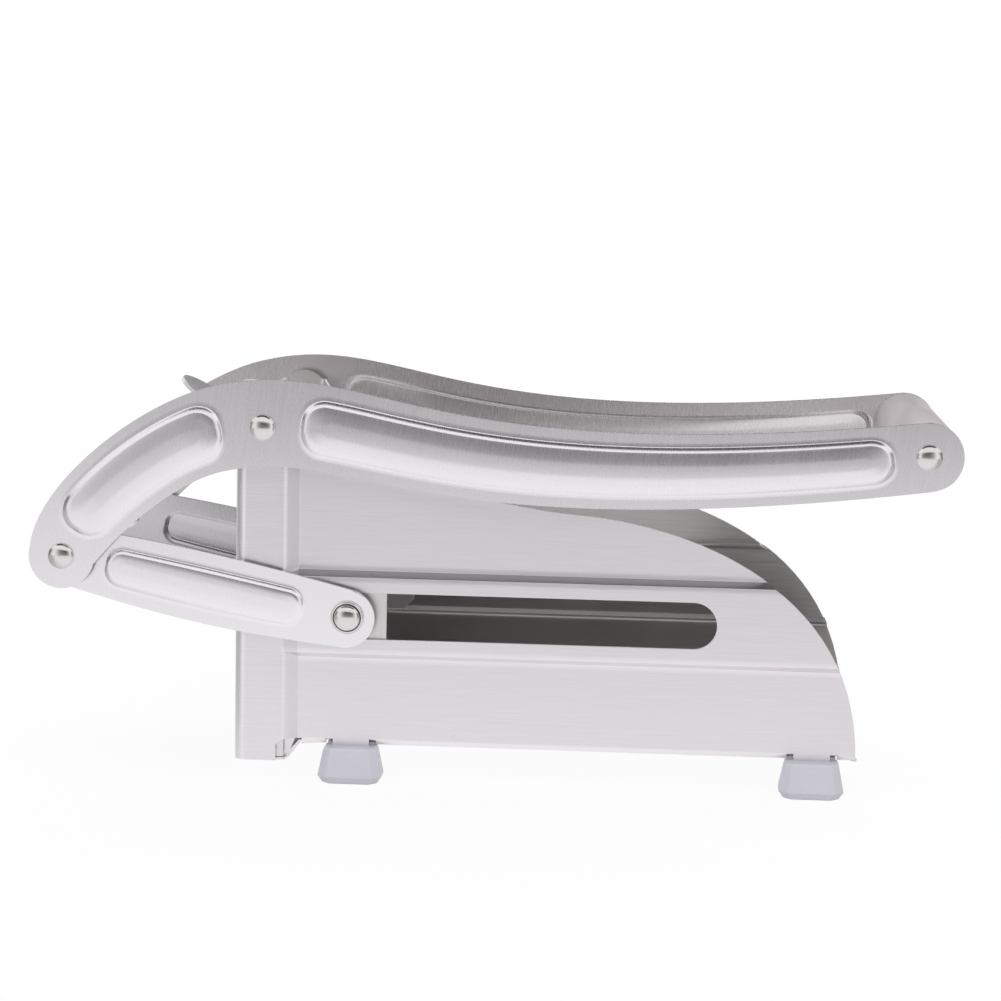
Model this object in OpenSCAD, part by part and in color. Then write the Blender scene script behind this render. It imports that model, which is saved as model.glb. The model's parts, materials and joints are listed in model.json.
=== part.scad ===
// French fry cutter: a pressed steel trough, a removable blade grid, a studded pusher and a
// pair of lever arms that drive the pusher through two links.
// Millimetres, +Z up, +X towards the hand grip, +Y away from the near side.
// The origin lies on the table under the middle of the part. The lever is down, at rest.

/* [Lever linkage] */
// Height of the lever pivot above the table
pivot_h = 102.5; // [98:0.5:112]
// Distance of the crank pins below the pivot
crank_drop = 38.1; // [35:0.1:40]
// Distance of the hand grip behind the pivot
grip_reach = 186; // [178:1:210]
// Distance of the hand grip below the pivot
grip_drop = 3.6; // [2:0.1:8]
// Length of a link between its two pins
link_len = 83; // [81:0.5:86]
// Distance of the slot's middle line below the pivot
slot_drop = 53.85; // [52:0.05:55]
// Travel of the cross shaft along the slot
slot_travel = 98; // [90:1:102]

/* [Trough] */
// Clear width between the recessed wall panels
chamber_w = 76; // [75:0.5:84]
// Thickness of the trough's sheet
sheet_t = 1; // [0.8:0.1:1.2]
// Depth of the pressed relief in the walls
press_d = 3; // [2.5:0.1:3.5]
// Run of the sloped sides of the pressed band
press_run = 2.7; // [2:0.1:3.5]
// Height of the outer face of the slotted band
band_h = 22.8; // [20:0.2:24]
// Height of the slot
slot_h = 13.4; // [12:0.1:14]
// Distance of the trough's front edge ahead of the pivot
front_reach = 8.6; // [8.2:0.1:10]
// Distance of the blade channel's rear bend behind the pivot
channel_rear = 6.3; // [6:0.1:7]
// Run of the sloped step behind the blade channel
step_run = 4; // [3:0.1:5]
// Distance of the trough's rear end behind the pivot
rear_reach = 169.2; // [165:0.5:174]
// Height of the gap under the trough
ground_gap = 10.5; // [9:0.5:14]
// Drop of the blade seat under the trough
seat_drop = 4.6; // [4:0.1:6]
// Radius of the round ear over the pivot
ear_r = 7; // [6.5:0.1:7.5]
// Height of the ear's centre above the pivot
ear_rise = 1.9; // [1:0.1:3]
// Depth of the front lip that holds the blade frame
lip_d = 4; // [3:0.1:4.4]
// Outer radius of the sheet's bends
bend_r = 2; // [1.6:0.1:2.4]
// Thickness of the floor plate
floor_t = 0.8; // [0.6:0.1:0.9]

/* [Feet] */
// Length of a foot at its top
foot_l = 15.6; // [14:0.2:18]
// Width of a foot at its top
foot_w = 9.6; // [8:0.2:12]
// Flare of a foot on each side
foot_flare = 1.4; // [0.8:0.1:1.6]
// Corner chamfer of a foot
foot_chamfer = 2.8; // [1.5:0.1:3.5]
// Distance of the front feet behind the pivot
foot_front = 25; // [23:0.5:28]
// Distance of the rear feet from the trough's rear end
foot_end = 12.4; // [11.2:0.2:17]
// Width of the tab that carries a foot
tab_w = 10.4; // [8:0.2:11]
// Width of the notches beside a tab
notch_w = 2; // [1.5:0.1:2.4]

/* [Lever arms] */
// Thickness of the arm strap
arm_t = 1.5; // [1.2:0.1:1.8]
// Gap between a link and the arm beside it
arm_gap = 1.8; // [1.5:0.1:3.3]
// Half width of the arm at the crank pin
arm_crank_r = 9.3; // [8.5:0.1:10]
// Half width of the arm at the pivot
arm_mid_r = 12; // [11:0.1:13]
// Half width of the arm at the grip
arm_grip_r = 9.6; // [9:0.1:10.5]
// Distance from the arm's edge to the foot of the pressed boss
boss_margin = 4; // [3.5:0.1:5]
// Height of the pressed bosses
boss_rise = 1.3; // [1:0.1:1.5]
// Width of a boss's sloping side
boss_slope = 2.6; // [2:0.1:3]
// Outer diameter of the grip tube
grip_d = 18.8; // [17:0.2:19.2]
// Wall of the grip tube
grip_wall = 1; // [0.8:0.1:1.5]

/* [Links] */
// Thickness of a link
link_t = 1.5; // [1.2:0.1:1.5]
// Gap between the trough's side and a link
link_gap = 1.2; // [1.1:0.1:1.3]
// Radius of a link's ends
link_end_r = 8.4; // [8:0.1:9]
// Half width of a link at its middle
link_mid_r = 9.6; // [9:0.1:10.5]
// Height of a link's boss
link_boss_rise = 0.9; // [0.6:0.1:1]

/* [Pins and rivets] */
// Diameter of the pivot and grip pins
pin_d = 6; // [5:0.1:6.4]
// Diameter of the crank rivets and of the shaft's necks
neck_d = 5; // [4.4:0.1:5.4]
// Diameter of the cross shaft
shaft_d = 7; // [6:0.1:7.4]
// Diameter of a domed rivet head
head_d = 7.4; // [7:0.1:8]
// Height of a domed rivet head
head_h = 1.8; // [1.4:0.1:2.2]
// Diameter of the washer rings round the rivets
ring_d = 9.5; // [9:0.1:11]
// Diameter of the spacers beside the pivot
spacer_d = 12; // [10:0.5:14]
// Radial running clearance of a pin in its bore
fit = 0.05; // [0.02:0.01:0.08]
// Clearance between flat faces that slide
slip = 0.2; // [0.1:0.05:0.25]

/* [Blade grid] */
// Width of the frame between the grid and the chamber's side
grid_margin = 2; // [1:0.1:4]
// Height of the plate above the grid
head_plate_h = 12.2; // [8:0.1:16]
// Number of cells along each side
cells = 6; // [6]
// Thickness of a blade strip
blade_t = 0.6; // [0.4:0.1:0.8]
// Depth of a blade strip along the push
blade_d = 10; // [8:0.5:10]
// Depth of the ground cutting edge
blade_edge = 1.6; // [1:0.1:2.4]
// Sheet thickness of the blade frame
frame_t = 1.2; // [1:0.1:1.4]
// Rise of the blade frame's top edge below the pivot
frame_top_drop = 6; // [4:0.5:8]
// Width of the pull tab
tab_pull_w = 26; // [18:1:30]
// Length of the pull tab
tab_pull_l = 29; // [24:0.5:32]
// Tilt of the pull tab above the horizontal
tab_pull_tilt = 34; // [28:1:40]

/* [Pusher] */
// Gap between the blade frame and the stud tips with the lever down
stud_gap = 1.4; // [1:0.1:2]
// Length of the studs
stud_l = 8; // [6:0.5:9]
// Clearance between a stud's root and the strips beside it
stud_side = 0.4; // [0.3:0.05:0.8]
// Draft of a stud's sides
stud_draft = 0.5; // [0.2:0.1:0.8]
// Thickness of the block that carries the studs
block_t = 4; // [3:0.5:4.5]
// Thickness of the carrier's sheet
carrier_t = 1.2; // [1:0.1:1.2]
// Clearance between the carrier and the cross shaft behind it
shaft_gap = 0.5; // [0.3:0.1:1]
// Depth of the carrier's stiffening flanges
carrier_flange = 7; // [5:0.5:9]
// Distance of an ear's rear edge behind the shaft
ear_rear = 10.8; // [9:0.2:12]
// Corner chamfer of a carrier ear
ear_chamfer = 2.8; // [1.5:0.1:3.5]
// Diameter of a carrier screw's head
screw_head_d = 7; // [6:0.2:8]
// Diameter of a carrier screw's shank
screw_d = 3.5; // [3:0.1:4]

/* [Hidden] */

steel = "#c8c5c7";
dark_steel = "#a9a6a8";
polished = "#e2e2e4";
white_plastic = "#efefec";
foot_plastic = "#c8cad2";

$fn = 48;
// One overrun serves every cut
cut = 0.5;
steps = 24;

// Side planes, as distances from the middle plane
panel_in = chamber_w / 2;
panel_out = panel_in + sheet_t;
band_in = panel_in + press_d;
band_out = band_in + sheet_t;
link_in = band_out + link_gap;
link_out = link_in + link_t;
arm_in = link_out + arm_gap;
arm_out = arm_in + arm_t;

// Heights, counted from the pivot
table_z = -pivot_h;
trough_z = table_z + ground_gap;
flange_top_z = trough_z + sheet_t;
floor_z = flange_top_z + floor_t;
seat_z = trough_z - seat_drop;
slot_z = -slot_drop;
frame_top_z = -frame_top_drop;
grid_w = chamber_w - 2 * grid_margin;
grid_h = frame_top_z - head_plate_h - floor_z;
grid_top_z = floor_z + grid_h;
cell_w = grid_w / cells;
cell_h = grid_h / cells;

// Small details of the pieces
foot_rear = rear_reach - foot_end;
flange_w = 10;
foot_toe = 2.6;
foot_top_gap = 0.2;
tab_fit = 0.1;
plug_l = 8;
tail_t = 0.8;
ring_t = 0.8;
screw_head_t = 2;
cap_steps = 6;
side_steps = 14;
halving_fit = 0.05;

// Blade frame and pusher, placed one behind the other along the push
frame_clear = 0.7;
rail_rise = 3;
frame_corner = 6;
frame_side = band_in - 2 * slip;
frame_front = -front_reach + sheet_t + slip;
frame_rear = channel_rear - frame_clear;
frame_low_z = seat_z + floor_t + slip / 2;
rim_top_z = grid_top_z + rail_rise;
blade_front = frame_front + frame_t;
blade_rear = blade_front + blade_d;
halving = blade_front + blade_d / 2;
carrier_x = frame_rear + stud_gap + stud_l + block_t;
block_half = panel_in - carrier_t;
block_low_z = floor_z + slip;
block_top_z = grid_top_z - slip;
screw_share = [0.35, 0.36];
screw_places = [for (sy = [-1, 1]) for (sz = [-1, 1])
    [sy * screw_share[0] * grid_w, (floor_z + grid_top_z) / 2 + sz * screw_share[1] * grid_h]];

// Pins of the linkage, in the plane of the lever
shaft = [carrier_x + carrier_t + shaft_gap + shaft_d / 2, slot_z];
crank_back = sqrt(pow(link_len, 2) - pow(slot_drop - crank_drop, 2)) - shaft[0];
crank = [-crank_back, -crank_drop];
grip = [grip_reach, -grip_drop];
link_angle = atan2(shaft[1] - crank[1], shaft[0] - crank[0]);

// The origin is under the middle of the whole length
pivot_x = -(grip_reach + arm_grip_r - crank_back - arm_crank_r) / 2;

// Centre line and half widths of the arm: control points of two curves that meet at the crown
crown_share = [-0.0726, 0.278];
crown_tilt = 14.7;
crank_rise_share = [0.049, 0.305];
crown_front_share = 0.328;
crown_rear_share = 0.226;
arm_sag_share = [0.215, 6.22];
crown = [crown_share[0] * grip_reach, -crown_share[1] * grip_drop];
crown_dir = [cos(crown_tilt), sin(crown_tilt)];
front_line = [
    crank,
    crank + [crank_rise_share[0] * crank_back, crank_rise_share[1] * crank_drop],
    crown - crown_front_share * crank_back * crown_dir,
    crown
];
rear_line = [
    crown,
    crown + crown_rear_share * grip_reach * crown_dir,
    [arm_sag_share[0] * grip_reach, -arm_sag_share[1] * grip_drop],
    grip
];
front_bulge_share = [1.3, 0.93];
rear_bulge_share = [1.06, 1.17];
front_half = [arm_crank_r, front_bulge_share[0] * arm_crank_r, front_bulge_share[1] * arm_mid_r, arm_mid_r];
rear_half = [arm_mid_r, rear_bulge_share[0] * arm_mid_r, rear_bulge_share[1] * arm_grip_r, arm_grip_r];

// Where the bosses start and end, as shares of each centre line, and the shares of a boss
// that its two round ends take
front_boss_share = [0.18, 1.02];
rear_boss_share = [0.218, 0.976];
front_cap_shares = [0.16, 0.1];
rear_cap_shares = [0.095, 0.026];
link_boss_share = [0.15, 0.865];
link_cap_shares = [0.092, 0.092];

function curve(p, t) =
    pow(1 - t, 3) * p[0] + 3 * pow(1 - t, 2) * t * p[1] + 3 * (1 - t) * t * t * p[2] + t * t * t * p[3];
function heading(p, t) =
    3 * pow(1 - t, 2) * (p[1] - p[0]) + 6 * (1 - t) * t * (p[2] - p[1]) + 3 * t * t * (p[3] - p[2]);
function left_of(v) = [-v[1], v[0]] / norm(v);
function reversed(list) = [for (i = [len(list) - 1 : -1 : 0]) list[i]];
function arc(centre, r, from, to, n) =
    [for (i = [0 : n]) centre + r * [cos(from + (to - from) * i / n), sin(from + (to - from) * i / n)]];
function bearing(v) = atan2(v[1], v[0]);

// A point on the arm: u runs from 0 at the crank pin to 1 at the crown and 2 at the grip
function arm_part(u) = u < 1 ? front_line : rear_line;
function arm_half_part(u) = u < 1 ? front_half : rear_half;
function arm_t_of(u) = u < 1 ? u : u - 1;
function arm_point(u, side, inset) =
    curve(arm_part(u), arm_t_of(u))
    + side * (curve(arm_half_part(u), arm_t_of(u)) - inset) * left_of(heading(arm_part(u), arm_t_of(u)));

arm_outline = concat(
    [for (i = [0 : 2 * steps]) arm_point(i / steps, 1, 0)],
    arc(grip, arm_grip_r, bearing(left_of(heading(rear_line, 1))),
        bearing(left_of(heading(rear_line, 1))) - 180, steps),
    reversed([for (i = [0 : 2 * steps]) arm_point(i / steps, -1, 0)]),
    arc(crank, arm_crank_r, bearing(left_of(heading(front_line, 0))) + 180,
        bearing(left_of(heading(front_line, 0))), steps)
);

// Stations along a boss: place from 0 to 1, and width from 0 at its tips to 1 past its round ends
function stations(caps) = concat(
    [for (i = [0 : cap_steps]) [caps[0] * (1 - cos(90 * i / cap_steps)), sin(90 * i / cap_steps)]],
    [for (i = [1 : side_steps - 1]) [caps[0] + (1 - caps[0] - caps[1]) * i / side_steps, 1]],
    [for (i = [cap_steps : -1 : 0]) [1 - caps[1] * (1 - cos(90 * i / cap_steps)), sin(90 * i / cap_steps)]]
);

// Closes two edges that share their first and last points
function closed(upper, lower) = concat(upper, [for (i = [len(lower) - 2 : -1 : 1]) lower[i]]);

// Outline of a boss that follows the arm from span[0] to span[1]
function arm_boss_edge(span, side, inset, caps) = [
    for (s = stations(caps))
        let (u = span[0] + (span[1] - span[0]) * s[0])
        let (half = curve(arm_half_part(u), arm_t_of(u)) - inset)
        arm_point(u, side, inset + half * (1 - s[1]))
];
function arm_boss_ring(span, inset, caps) =
    closed(arm_boss_edge(span, 1, inset, caps), arm_boss_edge(span, -1, inset, caps));

// A boss's top starts and ends inside its foot by the width of the slope
function boss_top_span(span, caps, half) = [
    span[0] + (span[1] - span[0]) * caps[0] * boss_slope / half,
    span[1] - (span[1] - span[0]) * caps[1] * boss_slope / half
];

module at_pivot() {
    translate([pivot_x, 0, pivot_h]) children();
}

// Turns a drawing of the side view into a plate between two distances from the middle plane
module side_plate(y0, y1) {
    translate([0, y1, 0]) rotate([90, 0, 0]) linear_extrude(y1 - y0) children();
}

// A round bar across the part at a point of the side view
module cross_bar(p, y0, y1, d) {
    translate([p[0], y1, p[1]]) rotate([90, 0, 0]) cylinder(h = y1 - y0, d = d);
}

// A shallow dome that faces outwards
module dome(p, y, d, h) {
    sphere_r = (pow(d / 2, 2) + h * h) / (2 * h);
    translate([p[0], y, p[1]]) rotate([-90, 0, 0]) intersection() {
        translate([0, 0, h - sphere_r]) sphere(r = sphere_r);
        cylinder(h = h, d = d);
    }
}

// Draws a piece of the far side on the near side
module near_side() {
    mirror([0, 1, 0]) children();
}

// Solid with straight sides up to y_mid and sloping sides up to y_top
module raised(low, high, y_low, y_mid, y_top) {
    n = len(low);
    ring = function (outline, y) [for (p = outline) [p[0], y, p[1]]];
    band = function (k) [for (i = [0 : n - 1])
        let (next = (i + 1) % n)
        [k * n + i, k * n + next, (k + 1) * n + next, (k + 1) * n + i]
    ];
    bottom = reversed([for (i = [0 : n - 1]) i]);
    top = [for (i = [0 : n - 1]) 2 * n + i];
    polyhedron(
        points = concat(ring(low, y_low), ring(low, y_mid), ring(high, y_top)),
        faces = concat([bottom], band(0), band(1), [top])
    );
}

// Outer skin of a wall as one solid block, from the middle plane to the pressed face
module relief_block() {
    lowest = seat_z - cut;
    highest = ear_rise + ear_r + cut;
    band_low = slot_z - band_h / 2;
    band_high = slot_z + band_h / 2;
    length = front_reach + rear_reach + cut;
    translate([-front_reach, 0, lowest]) cube([length, panel_out, highest - lowest]);
    translate([0, 0, lowest]) linear_extrude(highest - lowest) polygon([
        [-front_reach, 0], [channel_rear + step_run, 0], [channel_rear + step_run, panel_out],
        [channel_rear, band_out], [-front_reach, band_out]
    ]);
    translate([-front_reach, 0, 0]) rotate([90, 0, 90]) linear_extrude(length) polygon([
        [0, band_low - press_run], [panel_out, band_low - press_run], [band_out, band_low],
        [band_out, band_high], [panel_out, band_high + press_run], [0, band_high + press_run]
    ]);
}

// Side view of a wall: ear, falling top edge, round rear, notches and tabs for the feet
wall_neck = 9.2;
shoulder_drop = 2;
shoulder_rise = 4.3;
wall_hip = [90, -23.75];
hip_tilt = -4;
wall_dip_share = [0.074, 0.461];
wall_lead_share = 0.373;
wall_tail_share = 0.283;
wall_drop_share = [0.003, 0.802];
notch_h = 1.8;
front_notch = [3.6, 10.7];
front_notch_h = 1.6;
tab_h = 6;
ear_centre = [-0.5, ear_rise];
ear_turn = asin((shoulder_rise + shoulder_drop - ear_rise) / ear_r);
neck = [wall_neck, shoulder_rise - shoulder_drop];
rear_corner = [rear_reach, trough_z];
hip_dir = [cos(hip_tilt), sin(hip_tilt)];
wall_neck_line = [
    neck,
    [
        neck[0] + wall_dip_share[0] * (wall_hip[0] - neck[0]),
        neck[1] + wall_dip_share[1] * (wall_hip[1] - neck[1])
    ],
    wall_hip - wall_lead_share * (wall_hip[0] - neck[0]) * hip_dir,
    wall_hip
];
wall_back_line = [
    wall_hip,
    wall_hip + wall_tail_share * (rear_corner[0] - wall_hip[0]) * hip_dir,
    rear_corner + [-wall_drop_share[0] * rear_reach, wall_drop_share[1] * (wall_hip[1] - rear_corner[1])],
    rear_corner
];

module wall_side_view() {
    polygon(concat(
        [[-front_reach, seat_z], [-front_reach, shoulder_rise]],
        [[-front_reach + bend_r, shoulder_rise + shoulder_drop]],
        arc(ear_centre, ear_r, 180 - ear_turn, ear_turn, steps),
        [[channel_rear, shoulder_rise + shoulder_drop]],
        [for (i = [0 : steps]) curve(wall_neck_line, i / steps)],
        [for (i = [1 : steps]) curve(wall_back_line, i / steps)],
        foot_cut(foot_rear),
        foot_cut(foot_front),
        [[front_notch[1], trough_z], [front_notch[1], trough_z + front_notch_h]],
        [[front_notch[0] + front_notch_h, trough_z + front_notch_h], [front_notch[0], trough_z]],
        [[front_notch[0], seat_z]]
    ));
}

// Notch, tab and notch of one foot, from rear to front
function foot_cut(x) = [
    [x + tab_w / 2 + notch_w, trough_z],
    [x + tab_w / 2 + notch_w, trough_z + notch_h],
    [x + tab_w / 2, trough_z + notch_h],
    [x + tab_w / 2, trough_z - tab_h],
    [x - tab_w / 2, trough_z - tab_h],
    [x - tab_w / 2, trough_z + notch_h],
    [x - tab_w / 2 - notch_w, trough_z + notch_h],
    [x - tab_w / 2 - notch_w, trough_z]
];

module far_wall() {
    color(steel) at_pivot() difference() {
        union() {
            intersection() {
                difference() {
                    relief_block();
                    translate([0, -sheet_t, 0]) relief_block();
                }
                side_plate(0, band_out + cut) wall_side_view();
            }
            front_lip();
            bottom_flange();
        }
        slot_cut();
        cross_bar([0, 0], panel_in, band_out + cut, pin_d + fit);
        front_corner_cut();
        bottom_corner_cut();
    }
}

// The slot that the roller runs in, a little wider than the roller
module slot_cut() {
    side_plate(panel_in - cut, band_out + cut) {
        translate(shaft) circle(d = slot_h);
        translate([shaft[0] + slot_travel, shaft[1]]) circle(d = slot_h);
        translate([shaft[0], shaft[1] - slot_h / 2]) square([slot_travel, slot_h]);
    }
}

// The front edge turns inwards and holds the blade frame back
module front_lip() {
    top = shoulder_rise;
    translate([-front_reach, band_out - bend_r - lip_d, seat_z]) cube([sheet_t, lip_d, top - seat_z]);
    translate([-front_reach + bend_r, band_out - bend_r, seat_z]) intersection() {
        difference() {
            cylinder(h = top - seat_z, r = bend_r);
            translate([0, 0, -cut]) cylinder(h = top - seat_z + 2 * cut, r = bend_r - sheet_t);
        }
        translate([-bend_r, 0, 0]) cube([bend_r, bend_r, top - seat_z]);
    }
}

// Takes the square corner off where the front bend is round
module front_corner_cut() {
    h = shoulder_rise + shoulder_drop - seat_z + cut;
    translate([-front_reach - cut, band_out - bend_r, seat_z - cut]) difference() {
        cube([bend_r + cut, bend_r + cut, h]);
        translate([bend_r + cut, 0, -cut]) cylinder(h = h + 2 * cut, r = bend_r);
    }
}

// The bottom edge turns inwards and carries the floor plate, except beside the feet
module bottom_flange() {
    tab_front = foot_front - tab_w / 2 - notch_w;
    tab_rear = foot_rear + tab_w / 2 + notch_w;
    front = front_notch[1] + 2 * bend_r;
    middle = foot_front + foot_l / 2 + foot_flare;
    rear = foot_rear - foot_l / 2 - foot_flare;
    translate([middle, 0, 0]) rotate([90, 0, 90]) linear_extrude(rear - middle) {
        translate([panel_out - bend_r - flange_w, trough_z]) square([flange_w, sheet_t]);
        intersection() {
            translate([panel_out - bend_r, trough_z + bend_r]) difference() {
                circle(r = bend_r);
                circle(r = bend_r - sheet_t);
            }
            translate([panel_out - bend_r, trough_z]) square(bend_r);
        }
    }
    translate([front, panel_in - flange_w, trough_z])
        cube([tab_front - front, flange_w + sheet_t / 2, sheet_t]);
    translate([tab_rear, panel_in - flange_w, trough_z])
        cube([rear_reach - bend_r - tab_rear, flange_w + sheet_t / 2, sheet_t]);
}

// Takes the square corner off where the bottom bend is round
module bottom_corner_cut() {
    middle = foot_front + foot_l / 2 + foot_flare;
    rear = foot_rear - foot_l / 2 - foot_flare;
    translate([middle, 0, 0]) rotate([90, 0, 90]) linear_extrude(rear - middle) difference() {
        translate([panel_out - bend_r, trough_z - cut]) square([bend_r + cut, bend_r + cut]);
        translate([panel_out - bend_r, trough_z + bend_r]) circle(r = bend_r);
    }
}

module near_wall() {
    near_side() far_wall();
}

// Flat plate that closes the trough underneath and lies on the wall flanges, clear of their bends
module trough_floor() {
    half = panel_out - bend_r - slip / 2;
    front = channel_rear + step_run;
    color(steel) at_pivot() translate([front, -half, flange_top_z])
        cube([rear_reach - bend_r - front, 2 * half, floor_t]);
}

// Folded cross piece under the blade frame: a ramp down from the floor and a ledge
module blade_seat() {
    half = band_in - slip / 2;
    ramp_half = panel_in - slip / 2;
    front = -front_reach + bend_r;
    ledge_rear = channel_rear;
    floor_front = channel_rear + step_run;
    color(steel) at_pivot() {
        translate([front, -half, seat_z]) cube([ledge_rear - front, 2 * half, floor_t]);
        translate([0, ramp_half, 0]) rotate([90, 0, 0]) linear_extrude(2 * ramp_half) polygon([
            [ledge_rear - floor_t, seat_z], [ledge_rear + floor_t / 2, seat_z],
            [floor_front, flange_top_z - floor_t], [floor_front + press_d, flange_top_z - floor_t],
            [floor_front + press_d, flange_top_z], [floor_front - floor_t / 2, flange_top_z],
            [ledge_rear - floor_t, seat_z + floor_t]
        ]);
    }
}

// Plastic foot pushed over a tab: narrow at the top, wider below, with all corners cut off
module foot(x) {
    h = ground_gap - foot_top_gap;
    knee = foot_toe;
    toe_in = foot_toe / 2;
    y_mid = (panel_in + panel_out) / 2;
    half_l = foot_l / 2;
    half_w = foot_w / 2;
    color(foot_plastic) at_pivot() difference() {
        translate([x, y_mid, table_z]) intersection() {
            rotate([90, 0, 0]) linear_extrude(2 * (half_w + foot_flare), center = true) polygon([
                [-half_l, h], [half_l, h], [half_l + foot_flare, knee], [half_l + foot_flare - toe_in, 0],
                [-half_l - foot_flare + toe_in, 0], [-half_l - foot_flare, knee]
            ]);
            rotate([90, 0, 90]) linear_extrude(2 * (half_l + foot_flare), center = true) polygon([
                [-half_w, h], [half_w, h], [half_w + foot_flare, knee], [half_w + foot_flare - toe_in, 0],
                [-half_w - foot_flare + toe_in, 0], [-half_w - foot_flare, knee]
            ]);
            linear_extrude(h) cut_corners(half_l + foot_flare, half_w + foot_flare, foot_chamfer);
        }
        translate([x - tab_w / 2 - tab_fit, panel_in - tab_fit, trough_z - tab_h - tab_fit])
            cube([tab_w + 2 * tab_fit, sheet_t + 2 * tab_fit, tab_h + cut]);
    }
}

// Rectangle of half sizes a and b with its corners cut off by c
module cut_corners(a, b, c) {
    polygon([
        [-a + c, -b], [a - c, -b], [a, -b + c], [a, b - c],
        [a - c, b], [-a + c, b], [-a, b - c], [-a, -b + c]
    ]);
}

module far_front_foot() {
    foot(foot_front);
}

module far_rear_foot() {
    foot(foot_rear);
}

module near_front_foot() {
    near_side() foot(foot_front);
}

module near_rear_foot() {
    near_side() foot(foot_rear);
}

// The pivot pin is flush inside the ear, so the blade frame can pass it
module far_pivot_rivet() {
    color(polished) at_pivot() {
        cross_bar([0, 0], band_in, arm_out + slip, pin_d);
        dome([0, 0], arm_out + slip, head_d, head_h);
    }
}

module near_pivot_rivet() {
    near_side() far_pivot_rivet();
}

module far_pivot_spacer() {
    color(polished) at_pivot() difference() {
        cross_bar([0, 0], band_out, arm_in - slip, spacer_d);
        cross_bar([0, 0], band_out - cut, arm_in, pin_d + 2 * fit);
    }
}

module near_pivot_spacer() {
    near_side() far_pivot_spacer();
}

// Strap with two pressed bosses: each boss is raised outside and hollow inside
module arm_boss(span, caps, outside) {
    low = arm_boss_ring(span, boss_margin, caps);
    top_span = boss_top_span(span, caps, arm_mid_r - boss_margin);
    high = arm_boss_ring(top_span, boss_margin + boss_slope, caps);
    base = outside ? arm_out : arm_in;
    raised(low, high, outside ? arm_in + arm_t / 2 : arm_in - cut, base, base + boss_rise);
}

module arm_bosses(outside) {
    arm_boss(front_boss_share, front_cap_shares, outside);
    arm_boss([1 + rear_boss_share[0], 1 + rear_boss_share[1]], rear_cap_shares, outside);
}

module far_arm() {
    color(steel) at_pivot() difference() {
        union() {
            side_plate(arm_in, arm_out) polygon(arm_outline);
            arm_bosses(true);
        }
        arm_bosses(false);
        cross_bar([0, 0], arm_in - cut, arm_out + cut, pin_d + 2 * fit);
        cross_bar(crank, arm_in - cut, arm_out + cut, neck_d);
        cross_bar(grip, arm_in - cut, arm_out + cut, pin_d);
    }
}

module near_arm() {
    near_side() far_arm();
}

module grip_tube() {
    color(steel) at_pivot() difference() {
        cross_bar(grip, -arm_in, arm_in, grip_d);
        cross_bar(grip, -arm_in - cut, arm_in + cut, grip_d - 2 * grip_wall);
    }
}

// One rod ties the arms together through the tube; its ends are riveted over
module grip_rod() {
    color(polished) at_pivot() {
        cross_bar(grip, -arm_out, arm_out, pin_d);
        dome(grip, arm_out, head_d, head_h);
        near_side() dome(grip, arm_out, head_d, head_h);
    }
}

// Plug that centres the tube on the rod
module far_grip_plug() {
    color(dark_steel) at_pivot() difference() {
        cross_bar(grip, arm_in - plug_l, arm_in, grip_d - 2 * grip_wall);
        cross_bar(grip, arm_in - plug_l - cut, arm_in + cut, pin_d);
    }
}

module near_grip_plug() {
    near_side() far_grip_plug();
}

// The crank rivet ends flush inside the arm, where it meets the link's collar
module far_crank_rivet() {
    color(polished) at_pivot() {
        cross_bar(crank, arm_in, arm_out, neck_d);
        dome(crank, arm_out, head_d, head_h);
    }
}

module near_crank_rivet() {
    near_side() far_crank_rivet();
}

// A link lies between the wall and the arm; x runs from its crank end to its shaft end
function link_half(a) = link_end_r + (link_mid_r - link_end_r) * sin(180 * a);
function link_boss_edge(span, side, inset, caps) = [
    for (s = stations(caps))
        let (a = span[0] + (span[1] - span[0]) * s[0])
        [a * link_len, side * (link_half(a) - inset) * s[1]]
];
function link_boss_ring(span, inset, caps) =
    closed(link_boss_edge(span, 1, inset, caps), link_boss_edge(span, -1, inset, caps));
link_outline = concat(
    [for (i = [0 : steps]) [link_len * i / steps, link_half(i / steps)]],
    arc([link_len, 0], link_end_r, 90, -90, steps),
    [for (i = [steps : -1 : 0]) [link_len * i / steps, -link_half(i / steps)]],
    arc([0, 0], link_end_r, 270, 90, steps)
);
module link_boss(outside) {
    low = link_boss_ring(link_boss_share, boss_margin, link_cap_shares);
    top_span = boss_top_span(link_boss_share, link_cap_shares, link_mid_r - boss_margin);
    high = link_boss_ring(top_span, boss_margin + boss_slope, link_cap_shares);
    base = outside ? link_out : link_in;
    raised(low, high, outside ? link_in + link_t / 2 : link_in - cut, base, base + link_boss_rise);
}

// Places a piece drawn along +X from the crank pin onto the link's line
module on_link() {
    translate([crank[0], 0, crank[1]]) rotate([0, -link_angle, 0]) children();
}

module far_link() {
    color(steel) at_pivot() on_link() difference() {
        union() {
            side_plate(link_in, link_out) polygon(link_outline);
            link_boss(true);
        }
        link_boss(false);
        cross_bar([0, 0], link_in - cut, link_out + cut, pin_d);
        cross_bar([link_len, 0], link_in - cut, link_out + cut, neck_d + 2 * fit);
    }
}

module near_link() {
    near_side() far_link();
}

// Eyelet in the link's crank end: a collar towards the arm and a flat ring towards the trough
module far_link_bush() {
    color(polished) at_pivot() {
        cross_bar(crank, link_in - tail_t, arm_in - slip, pin_d);
        cross_bar(crank, link_in - tail_t, link_in, ring_d);
        cross_bar(crank, link_out, arm_in - slip, ring_d);
    }
}

module near_link_bush() {
    near_side() far_link_bush();
}

// Cross shaft in the slots: thick between the walls, necked down outside for the links
module slot_shaft() {
    ring_out = link_out + slip + ring_t;
    color(polished) at_pivot() {
        cross_bar(shaft, -link_in + slip, link_in - slip, shaft_d);
        cross_bar(shaft, -ring_out, ring_out, neck_d);
        dome(shaft, ring_out, head_d, head_h);
        near_side() dome(shaft, ring_out, head_d, head_h);
    }
}

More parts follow.
